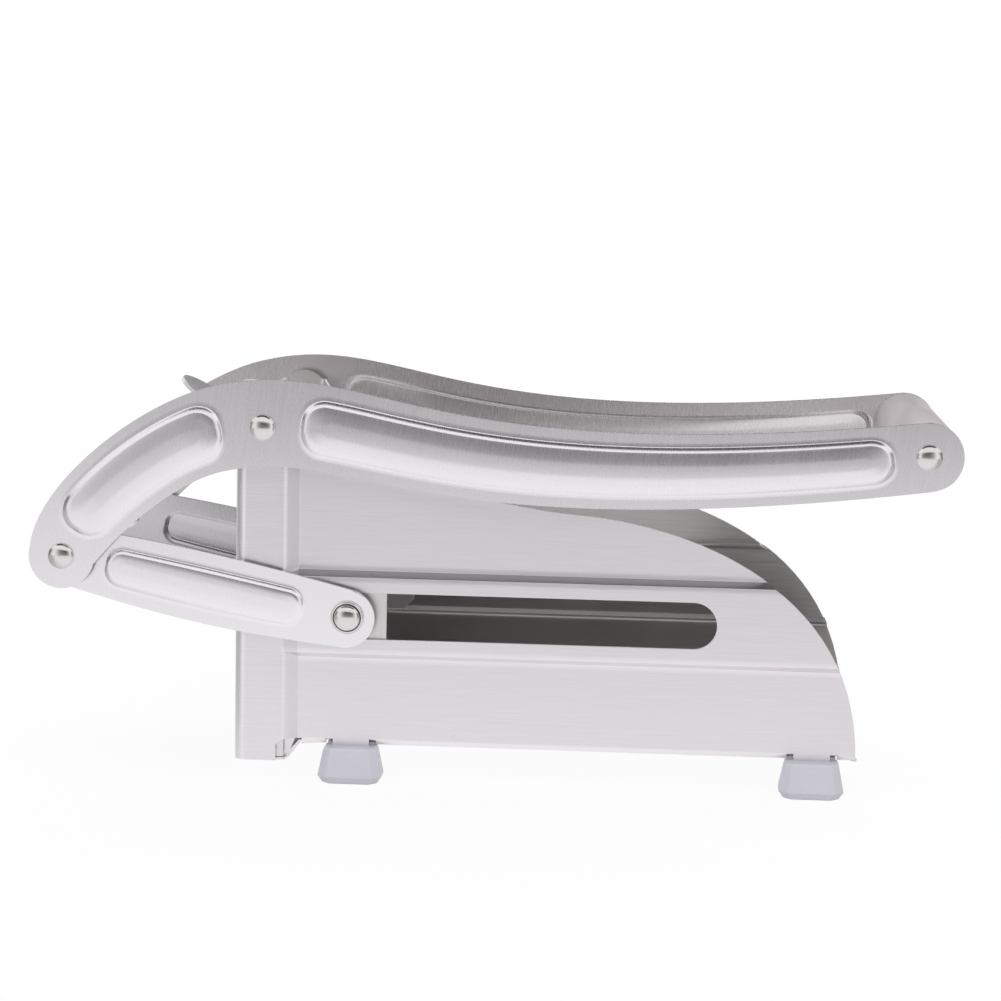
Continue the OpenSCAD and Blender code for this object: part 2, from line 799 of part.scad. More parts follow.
module far_shaft_ring() {
    color(polished) at_pivot() difference() {
        cross_bar(shaft, link_out + slip, link_out + slip + ring_t, ring_d);
        cross_bar(shaft, link_out, link_out + slip + 2 * ring_t, neck_d);
    }
}

module near_shaft_ring() {
    near_side() far_shaft_ring();
}

module far_slot_roller() {
    color(white_plastic) at_pivot() difference() {
        cross_bar(shaft, band_in, link_in - 2 * slip, slot_h - 2 * slip);
        cross_bar(shaft, band_in - slip, link_in, shaft_d);
    }
}

module near_slot_roller() {
    near_side() far_slot_roller();
}

// Steel carrier: a back plate with folded top and bottom edges and an ear in each groove
module pusher_carrier() {
    ear_out = band_in - slip;
    ear_half = band_h / 2 - 2 * slip;
    ear_x = [carrier_x - block_t - stud_l, shaft[0] + ear_rear];
    plate_h = block_top_z - block_low_z;
    color(dark_steel) at_pivot() difference() {
        union() {
            translate([carrier_x, -block_half, block_low_z]) cube([carrier_t, 2 * block_half, plate_h]);
            translate([carrier_x, -ear_out, slot_z - ear_half])
                cube([carrier_t, 2 * ear_out, 2 * ear_half]);
            for (z = [block_low_z, block_top_z - carrier_t])
                translate([carrier_x, -block_half, z]) cube([carrier_flange, 2 * block_half, carrier_t]);
            for (side = [0, 1]) mirror([0, side, 0]) side_plate(ear_out - carrier_t, ear_out)
                translate([(ear_x[0] + ear_x[1]) / 2, slot_z])
                    cut_corners((ear_x[1] - ear_x[0]) / 2, ear_half, ear_chamfer);
        }
        cross_bar(shaft, -ear_out - cut, ear_out + cut, shaft_d);
        for (p = screw_places) translate([carrier_x - cut, p[0], p[1]]) rotate([0, 90, 0])
            cylinder(h = carrier_t + 2 * cut, d = screw_d + 2 * fit);
    }
}

// White plastic block with one tapered stud for each cell of the grid
function teeth(first, pitch, x_root, x_tip) = concat([[x_root, first - pitch / 2]],
    [for (k = [0 : cells - 1]) let (middle = first + k * pitch, half = (pitch - blade_t) / 2 - stud_side) each [
        [x_root, middle - half], [x_tip, middle - half + stud_draft],
        [x_tip, middle + half - stud_draft], [x_root, middle + half]
    ]],
    [[x_root, first + (cells - 1) * pitch + pitch / 2]]
);
module pusher_block() {
    root = carrier_x - block_t;
    tip = root - stud_l;
    first_y = -(cells - 1) * cell_w / 2;
    first_z = floor_z + cell_h / 2;
    back = root + cut;
    plate_h = block_top_z - block_low_z;
    color(white_plastic) at_pivot() difference() {
        union() {
            translate([root, -block_half, block_low_z]) cube([block_t, 2 * block_half, plate_h]);
            intersection() {
                translate([0, 0, floor_z]) linear_extrude(grid_h) polygon(concat(
                    [[back, -grid_w / 2]], teeth(first_y, cell_w, root, tip), [[back, grid_w / 2]]
                ));
                translate([0, grid_w / 2, 0]) rotate([90, 0, 0]) linear_extrude(grid_w) polygon(concat(
                    [[back, floor_z]], teeth(first_z, cell_h, root, tip), [[back, grid_top_z]]
                ));
            }
        }
        for (p = screw_places) translate([root + block_t / 4, p[0], p[1]]) rotate([0, 90, 0])
            cylinder(h = block_t, d = screw_d);
    }
}

// Four screws hold the block to the carrier
module carrier_screws() {
    x0 = carrier_x - block_t + block_t / 4;
    color(polished) at_pivot() for (p = screw_places) translate([0, p[0], p[1]]) {
        translate([x0, 0, 0]) rotate([0, 90, 0]) cylinder(h = carrier_x + carrier_t - x0, d = screw_d);
        translate([carrier_x + carrier_t, 0, 0]) rotate([0, 90, 0])
            cylinder(h = screw_head_t, d = screw_head_d);
    }
}

// Front plate of the blade frame, seen from the front: a window for the strips and cut top corners
module frame_plate() {
    middle_z = (floor_z + grid_top_z) / 2;
    difference() {
        polygon([
            [-frame_side, frame_low_z], [frame_side, frame_low_z],
            [frame_side, frame_top_z - frame_corner], [frame_side - frame_corner, frame_top_z],
            [frame_corner - frame_side, frame_top_z], [-frame_side, frame_top_z - frame_corner]
        ]);
        translate([0, middle_z]) square([grid_w, grid_h], center = true);
    }
}

// Picture frame of folded sheet that holds the strips, with a plate and a pull tab on top
module blade_frame() {
    depth = frame_rear - frame_front;
    color(steel) at_pivot() {
        translate([frame_front, 0, 0]) rotate([90, 0, 90]) linear_extrude(frame_t) frame_plate();
        for (y = [-frame_side, frame_side - frame_t]) translate([frame_front, y, frame_low_z])
            cube([depth, frame_t, rim_top_z - frame_low_z]);
        for (z = [frame_low_z, rim_top_z - frame_t]) translate([frame_front, -frame_side, z])
            cube([depth, 2 * frame_side, frame_t]);
        translate([frame_front, 0, frame_top_z - frame_t]) rotate([0, -180 + tab_pull_tilt, 0]) pull_tab();
    }
}

// Tongue with a round tip that leans forward over the outlet
module pull_tab() {
    straight = tab_pull_l - tab_pull_w / 2;
    translate([-frame_t, -tab_pull_w / 2, -frame_t]) cube([straight + frame_t, tab_pull_w, frame_t]);
    translate([straight, 0, -frame_t]) cylinder(h = frame_t, d = tab_pull_w);
}

// Strips are halved into each other: the upright ones are slotted from the front
module blade_profile() {
    polygon([
        [blade_front, -blade_t / 2], [blade_rear - blade_edge, -blade_t / 2], [blade_rear, 0],
        [blade_rear - blade_edge, blade_t / 2], [blade_front, blade_t / 2]
    ]);
}

module vertical_blade(k) {
    low = frame_low_z + frame_t;
    high = rim_top_z - frame_t;
    y = (k - cells / 2) * cell_w;
    slit = blade_t + 2 * halving_fit;
    color(polished) at_pivot() difference() {
        translate([0, y, low]) linear_extrude(high - low) blade_profile();
        for (j = [1 : cells - 1]) translate([blade_front - cut, y - blade_t, floor_z + j * cell_h - slit / 2])
            cube([halving - blade_front + cut + halving_fit, 2 * blade_t, slit]);
    }
}

module horizontal_blade(k) {
    half = frame_side - frame_t;
    z = floor_z + k * cell_h;
    slit = blade_t + 2 * halving_fit;
    color(polished) at_pivot() difference() {
        translate([0, half, z]) rotate([90, 0, 0]) linear_extrude(2 * half) blade_profile();
        for (j = [1 : cells - 1]) translate([halving, (j - cells / 2) * cell_w - slit / 2, z - blade_t])
            cube([blade_rear - halving + cut, slit, 2 * blade_t]);
    }
}

near_wall();
far_wall();
trough_floor();
blade_seat();
near_front_foot();
far_front_foot();
near_rear_foot();
far_rear_foot();
near_pivot_rivet();
far_pivot_rivet();
near_pivot_spacer();
far_pivot_spacer();
near_arm();
far_arm();
grip_tube();
grip_rod();
near_grip_plug();
far_grip_plug();
near_crank_rivet();
far_crank_rivet();
near_link();
far_link();
near_link_bush();
far_link_bush();
pusher_block();
pusher_carrier();
slot_shaft();
carrier_screws();
near_slot_roller();
far_slot_roller();
near_shaft_ring();
far_shaft_ring();
blade_frame();
vertical_blade(1);  // vertical_blade_1
vertical_blade(2);  // vertical_blade_2
vertical_blade(3);  // vertical_blade_3
vertical_blade(4);  // vertical_blade_4
vertical_blade(5);  // vertical_blade_5
horizontal_blade(1);  // horizontal_blade_1
horizontal_blade(2);  // horizontal_blade_2
horizontal_blade(3);  // horizontal_blade_3
horizontal_blade(4);  // horizontal_blade_4
horizontal_blade(5);  // horizontal_blade_5
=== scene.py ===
import bisect
import json
import math

import bmesh
import bpy
from mathutils import Matrix, Vector


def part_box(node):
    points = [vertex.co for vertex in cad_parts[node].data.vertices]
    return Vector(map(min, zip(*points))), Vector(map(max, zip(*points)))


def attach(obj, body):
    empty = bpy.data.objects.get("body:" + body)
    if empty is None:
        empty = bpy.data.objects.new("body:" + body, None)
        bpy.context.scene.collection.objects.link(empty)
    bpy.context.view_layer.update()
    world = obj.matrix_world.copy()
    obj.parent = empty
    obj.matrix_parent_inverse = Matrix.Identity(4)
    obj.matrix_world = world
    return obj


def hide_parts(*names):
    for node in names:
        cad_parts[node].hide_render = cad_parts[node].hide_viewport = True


# %% [markdown]
# A french fry cutter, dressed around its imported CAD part.
# The trough walls, the lever arms and the links are pressed from brushed sheet steel, so most of
# this lesson is about sheet: how to cut a blank, press a relief into it and round its edges.
# The CAD gives every size and place. Here each solid gets a finer mesh and a finish.

# %% Load the frame
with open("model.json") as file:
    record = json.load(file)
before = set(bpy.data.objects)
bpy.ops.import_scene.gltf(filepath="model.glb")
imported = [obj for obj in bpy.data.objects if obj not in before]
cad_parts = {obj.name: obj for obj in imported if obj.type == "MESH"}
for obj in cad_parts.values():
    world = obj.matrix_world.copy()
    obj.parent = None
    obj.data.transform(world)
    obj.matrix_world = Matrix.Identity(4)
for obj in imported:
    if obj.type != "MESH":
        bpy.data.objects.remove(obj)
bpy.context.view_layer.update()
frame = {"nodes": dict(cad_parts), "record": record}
mm = 0.001

# %% [markdown]
# Four pins rule the mechanism: the lever's pivot, the crank pins at its short end, the grip's rod
# and the shaft that runs in the slots. Their middles come from the frame, and the side view is
# measured from the pivot.


# %% Find the pins
def middle(node):
    """Centre of a CAD node's box."""
    low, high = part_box(node)
    return (low + high) / 2


def edge(node, axis, high=False):
    """Lowest or highest place of a CAD node along an axis, 0 for X to 2 for Z."""
    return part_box(node)[1 if high else 0][axis]


pivot = middle("far_pivot_rivet")
crank = middle("far_crank_rivet")
grip = middle("grip_rod")
shaft = middle("slot_shaft")
print("pivot", [round(v / mm, 1) for v in pivot], "grip", [round(v / mm, 1) for v in grip])


def at(x, z):
    """A point of the side view, given in millimetres from the pivot."""
    return Vector((pivot.x + x * mm, 0, pivot.z + z * mm))


# %% [markdown]
# A material is a small program. One class wraps an output socket, so that sums of sockets can be
# written as sums in Python, and another adds nodes: its settings first, then what goes into it.

# %% Shader helpers
class Wire:
    """An output socket that takes part in sums and products."""

    def __init__(self, shades, socket):
        self.shades = shades
        self.socket = socket

    def __add__(self, other):
        return self.shades.maths("ADD", self, other)

    def __sub__(self, other):
        return self.shades.maths("SUBTRACT", self, other)

    def __rsub__(self, other):
        return self.shades.maths("SUBTRACT", other, self)

    def __mul__(self, other):
        return self.shades.maths("MULTIPLY", self, other)


class Shades:
    """The node tree of a material or of the world."""

    def __init__(self, owner):
        owner.use_nodes = True
        self.tree = owner.node_tree
        self.tree.nodes.clear()

    def node(self, kind, settings=None, sockets=None, out=0):
        """Adds a node and gives its output number out, or the node itself where it has none."""
        made = self.tree.nodes.new(kind)
        for key, value in (settings or {}).items():
            if key == "stops":
                ramp = made.color_ramp.elements
                while len(ramp) < len(value):
                    ramp.new(0.5)
                for element, (place, level) in zip(ramp, value):
                    element.position = place
                    element.color = (level, level, level, 1)
            else:
                setattr(made, key, value)
        for key, value in (sockets or {}).items():
            if isinstance(value, Wire):
                self.tree.links.new(value.socket, made.inputs[key])
            else:
                made.inputs[key].default_value = value
        return Wire(self, made.outputs[out]) if made.outputs else made

    def maths(self, operation, first, second, clamp=False):
        return self.node(
            "ShaderNodeMath", {"operation": operation, "use_clamp": clamp}, {0: first, 1: second})

    def place(self):
        """Object coordinates, in metres."""
        return self.node("ShaderNodeTexCoord", out=3)

    def grain(self, stretch, tilt=0.0, detail=2.0, shift=0.0):
        """Noise from 0 to 1 with this many waves per metre along X, Y and Z."""
        where = self.node("ShaderNodeMapping", {"vector_type": "TEXTURE"}, {
            "Vector": self.place(),
            "Rotation": (0, tilt, 0),
            "Scale": [1 / waves for waves in stretch],
            "Location": (shift, 0, 0),
        })
        return self.node("ShaderNodeTexNoise", {}, {"Vector": where, "Scale": 1.0, "Detail": detail})

    def parts(self, vector, count=2):
        """The first coordinates of a vector socket."""
        split = self.node("ShaderNodeSeparateXYZ", {}, {"Vector": vector}).socket.node
        return [Wire(self, split.outputs[k]) for k in range(count)]

    def inward(self):
        """1 on faces that look at the middle plane of the cutter, from either side."""
        across = self.parts(self.place())[1]
        facing = self.parts(self.node("ShaderNodeTexCoord", out=1))[1]
        return self.maths("LESS_THAN", across * facing, -0.02)

    def blend(self, share, a, b):
        """Colour a where share is 0 and colour b where it is 1."""
        return self.node("ShaderNodeMix", {"data_type": "RGBA"}, {0: share, 6: a, 7: b}, out=2)

    def vary(self, share, tone, darkest, lightest):
        """A tone times darkest where share is 0 and times lightest where it is 1."""
        return self.blend(share, *[rgb(*[min(1.0, v * by) for v in tone]) for by in (darkest, lightest)])

    def bump(self, height, strength, distance):
        return self.node(
            "ShaderNodeBump", {}, {"Strength": strength, "Distance": distance, "Height": height})

    def surface(self, kind, sockets):
        """Adds a shader and joins it to the output."""
        self.node("ShaderNodeOutputMaterial", {}, {"Surface": self.node(kind, {}, sockets)})


def rgb(red, green, blue):
    return (red, green, blue, 1.0)


def new_shades(name):
    """A new material and its empty node tree."""
    material = bpy.data.materials.new(name)
    return material, Shades(material)


# %% [markdown]
# Brushed stainless steel is steel with thousands of fine scratches in one direction. Noise that is
# stretched along the brush gives the streaks. They vary the colour and the gloss a little and tilt
# the surface through a Bump node, so that reflections smear across the streaks as they do on metal.
# Object coordinates fit here, because a blank is cut from brushed sheet and keeps its straight grain.
# The inner faces get a painted shade that is lighter with height, as painted light, as in the photograph. It
# also shows two pressed faces of each wall darker than the rest; that darkness is painted shade too, marked
# by a vertex attribute.

# %% Grain of the brush, in waves per metre
along_wave = 70.0
scratch_wave = 4600.0
bundle_wave = 1300.0
depth_wave = 200.0


def brush_lines(s, along, tilt):
    """Noise like brush marks along X or Z: single scratches over broader bundles of them."""
    if along == "x":
        scratch = s.grain((along_wave, depth_wave, scratch_wave), tilt)
        bundle = s.grain((along_wave / 3, depth_wave / 2, bundle_wave), tilt, shift=0.3)
    else:
        scratch = s.grain((scratch_wave, depth_wave, along_wave), tilt)
        bundle = s.grain((bundle_wave, depth_wave / 2, along_wave / 3), tilt, shift=0.3)
    return scratch * 0.8 + bundle * 0.2


# %% Brushed steel
finishes = {}
# A dark tone painted as shade on two pressed faces of each wall.
painted_shade_tone = rgb(0.2, 0.2, 0.21)
dust_tone = rgb(0.1, 0.09, 0.09)
height_light_from = 0.03
height_light_gain = 16.0


def dusty(s, colour, soil):
    """Adds sparse dark specks to a colour."""
    speck = s.node("ShaderNodeTexNoise", {}, {"Vector": s.place(), "Scale": 650.0})
    speck = s.node("ShaderNodeValToRGB", {"stops": [(0.0, 0.0), (0.76, 0.0), (0.8, 1.0)]}, {"Fac": speck})
    return s.blend(speck * soil, colour, dust_tone)


def brushed_steel(name, tone, inner_shade_tone, rough, along, tilt=0.0, streak=1.0, soil=0.0):
    """A finish of steel brushed along X or Z outside, with painted shade inside that lightens with height.
    rough is its mean.
    """
    material, s = new_shades(name)
    lines = brush_lines(s, along, tilt)
    cloud = s.grain((22.0, 22.0, 22.0), detail=3.0)
    shade = (lines - 0.5) * (0.9 * streak) + (cloud - 0.5) * 0.2 + 0.5
    outside = s.vary(shade, tone, 0.9, 1.1)
    # Painted shade where the wall's pressed faces are marked.
    painted_shade_mask = s.node("ShaderNodeAttribute", {"attribute_name": "dull"}, out=2)
    outside = s.blend(painted_shade_mask, outside, painted_shade_tone)
    # Painted shade on the inner faces, made lighter with height as painted light.
    height = s.parts(s.place(), 3)[2]
    height_light = s.maths("MULTIPLY", height - height_light_from, height_light_gain, clamp=True)
    inside = s.vary(shade + (height_light - 0.4) * 2.2, inner_shade_tone, 0.8, 1.55)
    colour = s.blend(s.inward(), outside, inside)
    s.surface("ShaderNodeBsdfPrincipled", {
        "Base Color": dusty(s, colour, soil) if soil else colour,
        "Metallic": 1.0,
        "Roughness": (lines - 0.5) * (0.25 * streak) + (cloud - 0.5) * 0.1 + rough,
        "Normal": s.bump(lines, 0.12 * streak, 0.00005),
        "Anisotropic": 0.5,
        "Anisotropic Rotation": 0.25 if along == "x" else 0.0,
    })
    finishes[name] = material


outer_tone = (0.87, 0.84, 0.87)
arm_tilt = math.radians(8)
# The second tone of each finish is the painted shade of its inner faces.
brushed_steel("trough_steel", outer_tone, (0.52, 0.51, 0.50), 0.34, "x", soil=0.12)
brushed_steel("arm_steel", outer_tone, (0.52, 0.50, 0.51), 0.27, "z", tilt=arm_tilt, streak=0.5)
brushed_steel("link_steel", (0.88, 0.86, 0.885), (0.46, 0.45, 0.46), 0.26, "z", streak=0.4)
brushed_steel("frame_steel", (0.80, 0.78, 0.79), (0.56, 0.55, 0.55), 0.32, "x", streak=0.7)
brushed_steel("grip_steel", (0.78, 0.72, 0.745), (0.5, 0.5, 0.5), 0.5, "z", streak=0.3)
print("brushed:", list(finishes))

# %% [markdown]
# Rivets and strips are smooth steel: a faint cloud in the tone and the gloss keeps them from
# looking like chrome. The feet, the pusher and the plugs are moulded plastic, which has a fine
# grain from its mould.


# %% Polished steel and moulded plastic
def cloudy(name, tone, tones, rough, cloud_wave, fine_wave, fine_detail, bump, metal):
    """A finish with a soft cloud in its tone and its gloss, and a fine grain."""
    material, s = new_shades(name)
    cloud = s.grain((cloud_wave,) * 3, detail=3.0)
    fine = s.grain((fine_wave,) * 3, detail=fine_detail)
    s.surface("ShaderNodeBsdfPrincipled", {
        "Base Color": s.vary(cloud, tone, *tones),
        "Metallic": metal,
        "Roughness": cloud * 0.12 + rough,
        "Normal": s.bump(fine, *bump),
    })
    finishes[name] = material


def polished_steel(name, tone, rough):
    cloudy(name, tone, (0.92, 1.0), rough, 300.0, 2400.0, 2.0, (0.15, 0.00005), 1.0)


def moulded_plastic(name, tone, rough):
    cloudy(name, tone, (0.94, 1.05), rough, 90.0, 3500.0, 3.0, (0.2, 0.00008), 0.0)


polished_steel("rivet_steel", (0.77, 0.75, 0.74), 0.10)
polished_steel("blade_steel", (0.78, 0.78, 0.79), 0.2)
polished_steel("carrier_steel", (0.80, 0.78, 0.79), 0.3)
moulded_plastic("foot_plastic", (0.74, 0.735, 0.81), 0.42)
moulded_plastic("pusher_plastic", (0.82, 0.82, 0.80), 0.35)
moulded_plastic("plug_plastic", (0.35, 0.35, 0.37), 0.5)
print(len(finishes), "finishes")

# %% [markdown]
# Every piece is finished the same way: its bmesh becomes an object, its corners are marked sharp,
# and modifiers give the sheet its thickness and round its cut edges. Weighted normals keep large
# flats flat. The near side is the far side mirrored, so one drawing serves both.

# %% Where each piece rides
body_of_node = {n: b for b, ns in frame["record"]["behaviour"]["bodies"].items() for n in ns}
slot_of_node = {row["node"]: row["material_slot"] for row in frame["record"]["subparts"]}
print(len(body_of_node), "nodes ride on", sorted(set(body_of_node.values())))


# %% From bmesh to a finished piece
sharp_angle = math.radians(32)


def link_object(name, data):
    """Puts an object with this mesh, lamp or camera into the scene."""
    made = bpy.data.objects.new(name, data)
    bpy.context.scene.collection.objects.link(made)
    return made


def mesh_object(name, bm):
    mesh = bpy.data.meshes.new(name)
    bm.to_mesh(mesh)
    bm.free()
    return link_object(name, mesh)


def add_modifiers(piece, sheet, round_edge, segments):
    """Gives a piece its sheet thickness and its round edges."""
    if sheet:
        solid = piece.modifiers.new("Thickness", "SOLIDIFY")
        solid.thickness = sheet
        solid.offset = -1
        solid.use_even_offset = True
    if round_edge:
        bevel = piece.modifiers.new("Round edges", "BEVEL")
        bevel.width = round_edge
        bevel.segments = segments
        bevel.limit_method = "ANGLE"
        bevel.angle_limit = sharp_angle
        bevel.harden_normals = False
    if sheet or round_edge:
        weigh = piece.modifiers.new("Flat faces", "WEIGHTED_NORMAL")
        weigh.keep_sharp = True
        weigh.weight = 80


def finish_piece(bm, name, node, near=False, sheet=0.0, round_edge=0.0, segments=2):
    """Makes an object from bm, which stands for a CAD node of the far side or of its near twin."""
    if near:
        bmesh.ops.scale(bm, vec=(1, -1, 1), verts=bm.verts)
        bmesh.ops.reverse_faces(bm, faces=bm.faces)
    piece = mesh_object(name, bm)
    piece.data.shade_smooth()
    piece.data.set_sharp_from_angle(angle=sharp_angle)
    add_modifiers(piece, sheet, round_edge, segments)
    piece.data.materials.append(finishes[slot_of_node[node]])
    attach(piece, body_of_node[node])
    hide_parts(node)
    return piece


def both_sides(draw, name, node, **how):
    """Draws a piece twice, for the far node and for its near twin."""
    for near, side in ((False, "far"), (True, "near")):
        finish_piece(draw(), f"{side}_{name}", f"{side}_{node}", near, **how)
    print("drew", name)


# %% [markdown]
# The arms and the links are straps with round ends and long pressed bosses. Each starts as a
# straight flat blank. The outline of every boss is drawn on it, and inset_region repeats that
# outline inwards, ring by ring, where the sheet will curve most. Then each vertex is pressed up by
# its depth inside the boss and carried to its place along the strap's curved centre line. The rings
# follow the boss, so its shoulders stay as crisp and even as those from a press tool.


# %% Flat blanks
def share_of(value):
    """A value held between 0 and 1."""
    return min(1.0, max(0.0, value))


def arc(centre, r, start, end, steps):
    """Points on an arc; angles in degrees."""
    turns = [math.radians(start + (end - start) * k / steps) for k in range(steps + 1)]
    return [(centre[0] + r * math.cos(a), centre[1] + r * math.sin(a)) for a in turns]


def spread(start, end, count):
    """Even steps from start to end, with both ends."""
    return [start + (end - start) * k / count for k in range(count + 1)]


def blank(*outlines):
    """A flat sheet in the side view with the first outline, less the others, and their vertices."""
    bm = bmesh.new()
    loops = []
    for outline in outlines:
        pairs = zip(outline, outline[1:] + outline[:1])
        apart = [a for a, b in pairs if math.dist(a, b) > 0.01 * mm]
        verts = [bm.verts.new((x, 0, z)) for x, z in apart]
        for pair in zip(verts, verts[1:] + verts[:1]):
            bm.edges.new(pair)
        loops.append(verts)
    bmesh.ops.triangle_fill(bm, use_beauty=True, edges=bm.edges)
    return bm, loops


def face_outwards(bm):
    """Turns all faces of an open sheet the same way, towards the far side's outside."""
    bmesh.ops.recalc_face_normals(bm, faces=bm.faces)
    if sum(f.normal.y * f.calc_area() for f in bm.faces) < 0:
        bmesh.ops.reverse_faces(bm, faces=bm.faces)


# %% [markdown]
# A pressed boss has a profile that a press tool leaves: a soft skirt where the sheet starts to
# lift, a small hollow round at the foot, a steep side, a larger round at the shoulder and a top that
# is hardly domed. Arcs describe it better than a smooth curve, because the steel mirrors the room
# and every change of slope shows as a line of its own.


# %% Pressed bosses
class Boss:
    """A pressed boss on a flat blank: a long box with round corners and a soft skirt."""

    level = math.radians(8)
    lean = math.radians(5)

    def __init__(self, start, end, half, rise, foot_r, shoulder_r, steep, skirt):
        """Reaches from start to end along the blank and half to either side, at its steep side."""
        self.mid = (start + end) / 2
        self.long = (end - start) / 2 + skirt
        self.half = half + skirt
        self.corner = 0.88 * self.half
        self.foot_r = foot_r
        self.shoulder_r = shoulder_r
        self.steep = steep
        self.skirt = skirt
        self.skirt_rise = skirt * math.tan(self.lean) / 2
        self.foot_run = skirt + foot_r * (math.sin(steep) - math.sin(self.lean))
        self.foot_rise = self.skirt_rise + foot_r * (math.cos(self.lean) - math.cos(steep))
        self.run = self.foot_run + shoulder_r * (math.sin(steep) - math.sin(self.level))
        self.dome = rise - self.foot_rise - shoulder_r * (math.cos(self.level) - math.cos(steep))

    def outline(self, pitch):
        """Points round the foot of the boss."""
        points = []
        straight = 2 * (self.long - self.corner)
        count = max(2, round(straight / pitch))
        for side in (1, -1):
            x0 = self.mid + side * (self.long - self.corner)
            z0 = self.half - self.corner
            turn = 0 if side == 1 else 180
            points += arc((x0, -side * z0), self.corner, turn - 90, turn, 12)[1:]
            points += arc((x0, side * z0), self.corner, turn, turn + 90, 12)
            points += [(x0 - side * straight * k / count, side * self.half) for k in range(1, count + 1)]
        return points

    def depth(self, x, z):
        """How deep a point of the blank lies inside the outline; negative outside."""
        qx = abs(x - self.mid) - self.long + self.corner
        qz = abs(z) - self.half + self.corner
        return self.corner - math.hypot(max(qx, 0), max(qz, 0)) - min(max(qx, qz), 0)

    def height(self, x, z):
        """A skirt, a hollow round at the foot, a larger round at the shoulder and a shallow dome."""
        depth = self.depth(x, z)
        if depth <= 0:
            return 0.0
        if depth < self.skirt:
            return self.skirt_rise * (depth / self.skirt) ** 2
        if depth < self.foot_run:
            r = self.foot_r
            from_low = depth - self.skirt + r * math.sin(self.lean)
            return self.skirt_rise + r * math.cos(self.lean) - math.sqrt(r**2 - from_low**2)
        r = self.shoulder_r
        to_top = max(r * math.sin(self.level), r * math.sin(self.steep) - depth + self.foot_run)
        height = self.foot_rise + math.sqrt(r**2 - to_top**2) - r * math.cos(self.steep)
        across = max(0.0, 1 - (z / (self.half - self.run)) ** 2)
        to_end = share_of((self.long - self.run - abs(x - self.mid)) / self.half)
        return height + self.dome * across * to_end * (2 - to_end) * min(1.0, depth / self.run)

    def rings(self):
        """Depths at which the outline is repeated: close together where the sheet curves most."""
        foot = spread(0, self.skirt, 3)[1:] + spread(self.skirt, self.foot_run, 4)[1:]
        shoulder = spread(self.foot_run, self.run, 9)[1:]
        return foot + shoulder + spread(self.run, self.corner * 0.97, 5)[1:]


# %% [markdown]
# A strap is bent in its own plane. Its centre line is a chain of points with a half width at each,
# so the flat blank can be carried along it: how far along gives the point and the heading, and how
# far aside is scaled to the width there.


# %% Centre lines
def bezier(p, t):
    """Point on a curve with four control points."""
    u = 1 - t
    return u**3 * p[0] + 3 * u**2 * t * p[1] + 3 * u * t**2 * p[2] + t**3 * p[3]


class Centreline:
    """The curved middle of a strap, with its half width, by distance from its first pin."""

    def __init__(self, points, halves):
        self.points = points
        self.halves = halves
        before = points[:1] + points[:-1]
        after = points[1:] + points[-1:]
        self.headings = [(b - a).normalized() for a, b in zip(before, after)]
        self.reach = [0.0]
        for a, b in zip(points, points[1:]):
            self.reach.append(self.reach[-1] + (b - a).length)
        self.length = self.reach[-1]

    def at(self, s):
        """Centre, heading and half width at a distance, straight on past either end."""
        k = min(max(bisect.bisect_right(self.reach, s) - 1, 0), len(self.points) - 2)
        t = (s - self.reach[k]) / (self.reach[k + 1] - self.reach[k])
        inside = share_of(t)
        heading = self.headings[k].lerp(self.headings[k + 1], inside).normalized()
        half = self.halves[k] + (self.halves[k + 1] - self.halves[k]) * inside
        return self.points[k].lerp(self.points[k + 1], t), heading, half

    def nearest(self, target):
        """Distance at which the line passes a point."""
        return min(zip(((p - target).length for p in self.points), self.reach))[1]


# %% Straps
def draw_strap(line, bosses, wide, level, pitch=1.6 * mm):
    """A pressed strap along a centre line. Its flat blank reaches wide to either side."""
    first, last = line.halves[0], line.halves[-1]
    count = round(line.length / pitch)
    outline = [(line.length * k / count, -wide) for k in range(1, count)]
    outline += [(line.length + last * c, wide * z) for c, z in arc((0, 0), 1.0, -90, 90, 28)]
    outline += [(line.length * (1 - k / count), wide) for k in range(1, count)]
    outline += [(first * c, wide * z) for c, z in arc((0, 0), 1.0, 90, 270, 28)]
    bm, loops = blank(outline, *[boss.outline(pitch) for boss in bosses])
    for boss, loop in zip(bosses, loops[1:]):
        face = bm.faces.new(loop)
        before = 0.0
        for depth in boss.rings():
            bmesh.ops.inset_region(
                bm, faces=[face], thickness=depth - before, depth=0, use_even_offset=True, use_boundary=True)
            before = depth
    bmesh.ops.triangulate(bm, faces=[f for f in bm.faces if len(f.verts) > 4])
    for v in bm.verts:
        x, z = v.co.x, v.co.z
        press = max(boss.height(x, z) for boss in bosses)
        centre, heading, half = line.at(x)
        v.co = centre + Vector((-heading.z, 0, heading.x)) * (z / wide * half)
        v.co.y = level + press
    face_outwards(bm)
    return bm


# %% [markdown]
# A lever arm runs from the crank pin up over the pivot and back to the grip. Two curves meet at its
# crown with the same heading. It is narrow at both ends and widest at the crown, and the boss stops
# short of the pivot rivet on either side.


# %% The arm's centre line
def flat(point):
    """A point moved into the middle plane."""
    return Vector((point.x, 0, point.z))


def heading(degrees):
    """A direction in the side view that rises by this angle towards the rear."""
    turn = math.radians(degrees)
    return Vector((math.cos(turn), 0, math.sin(turn)))


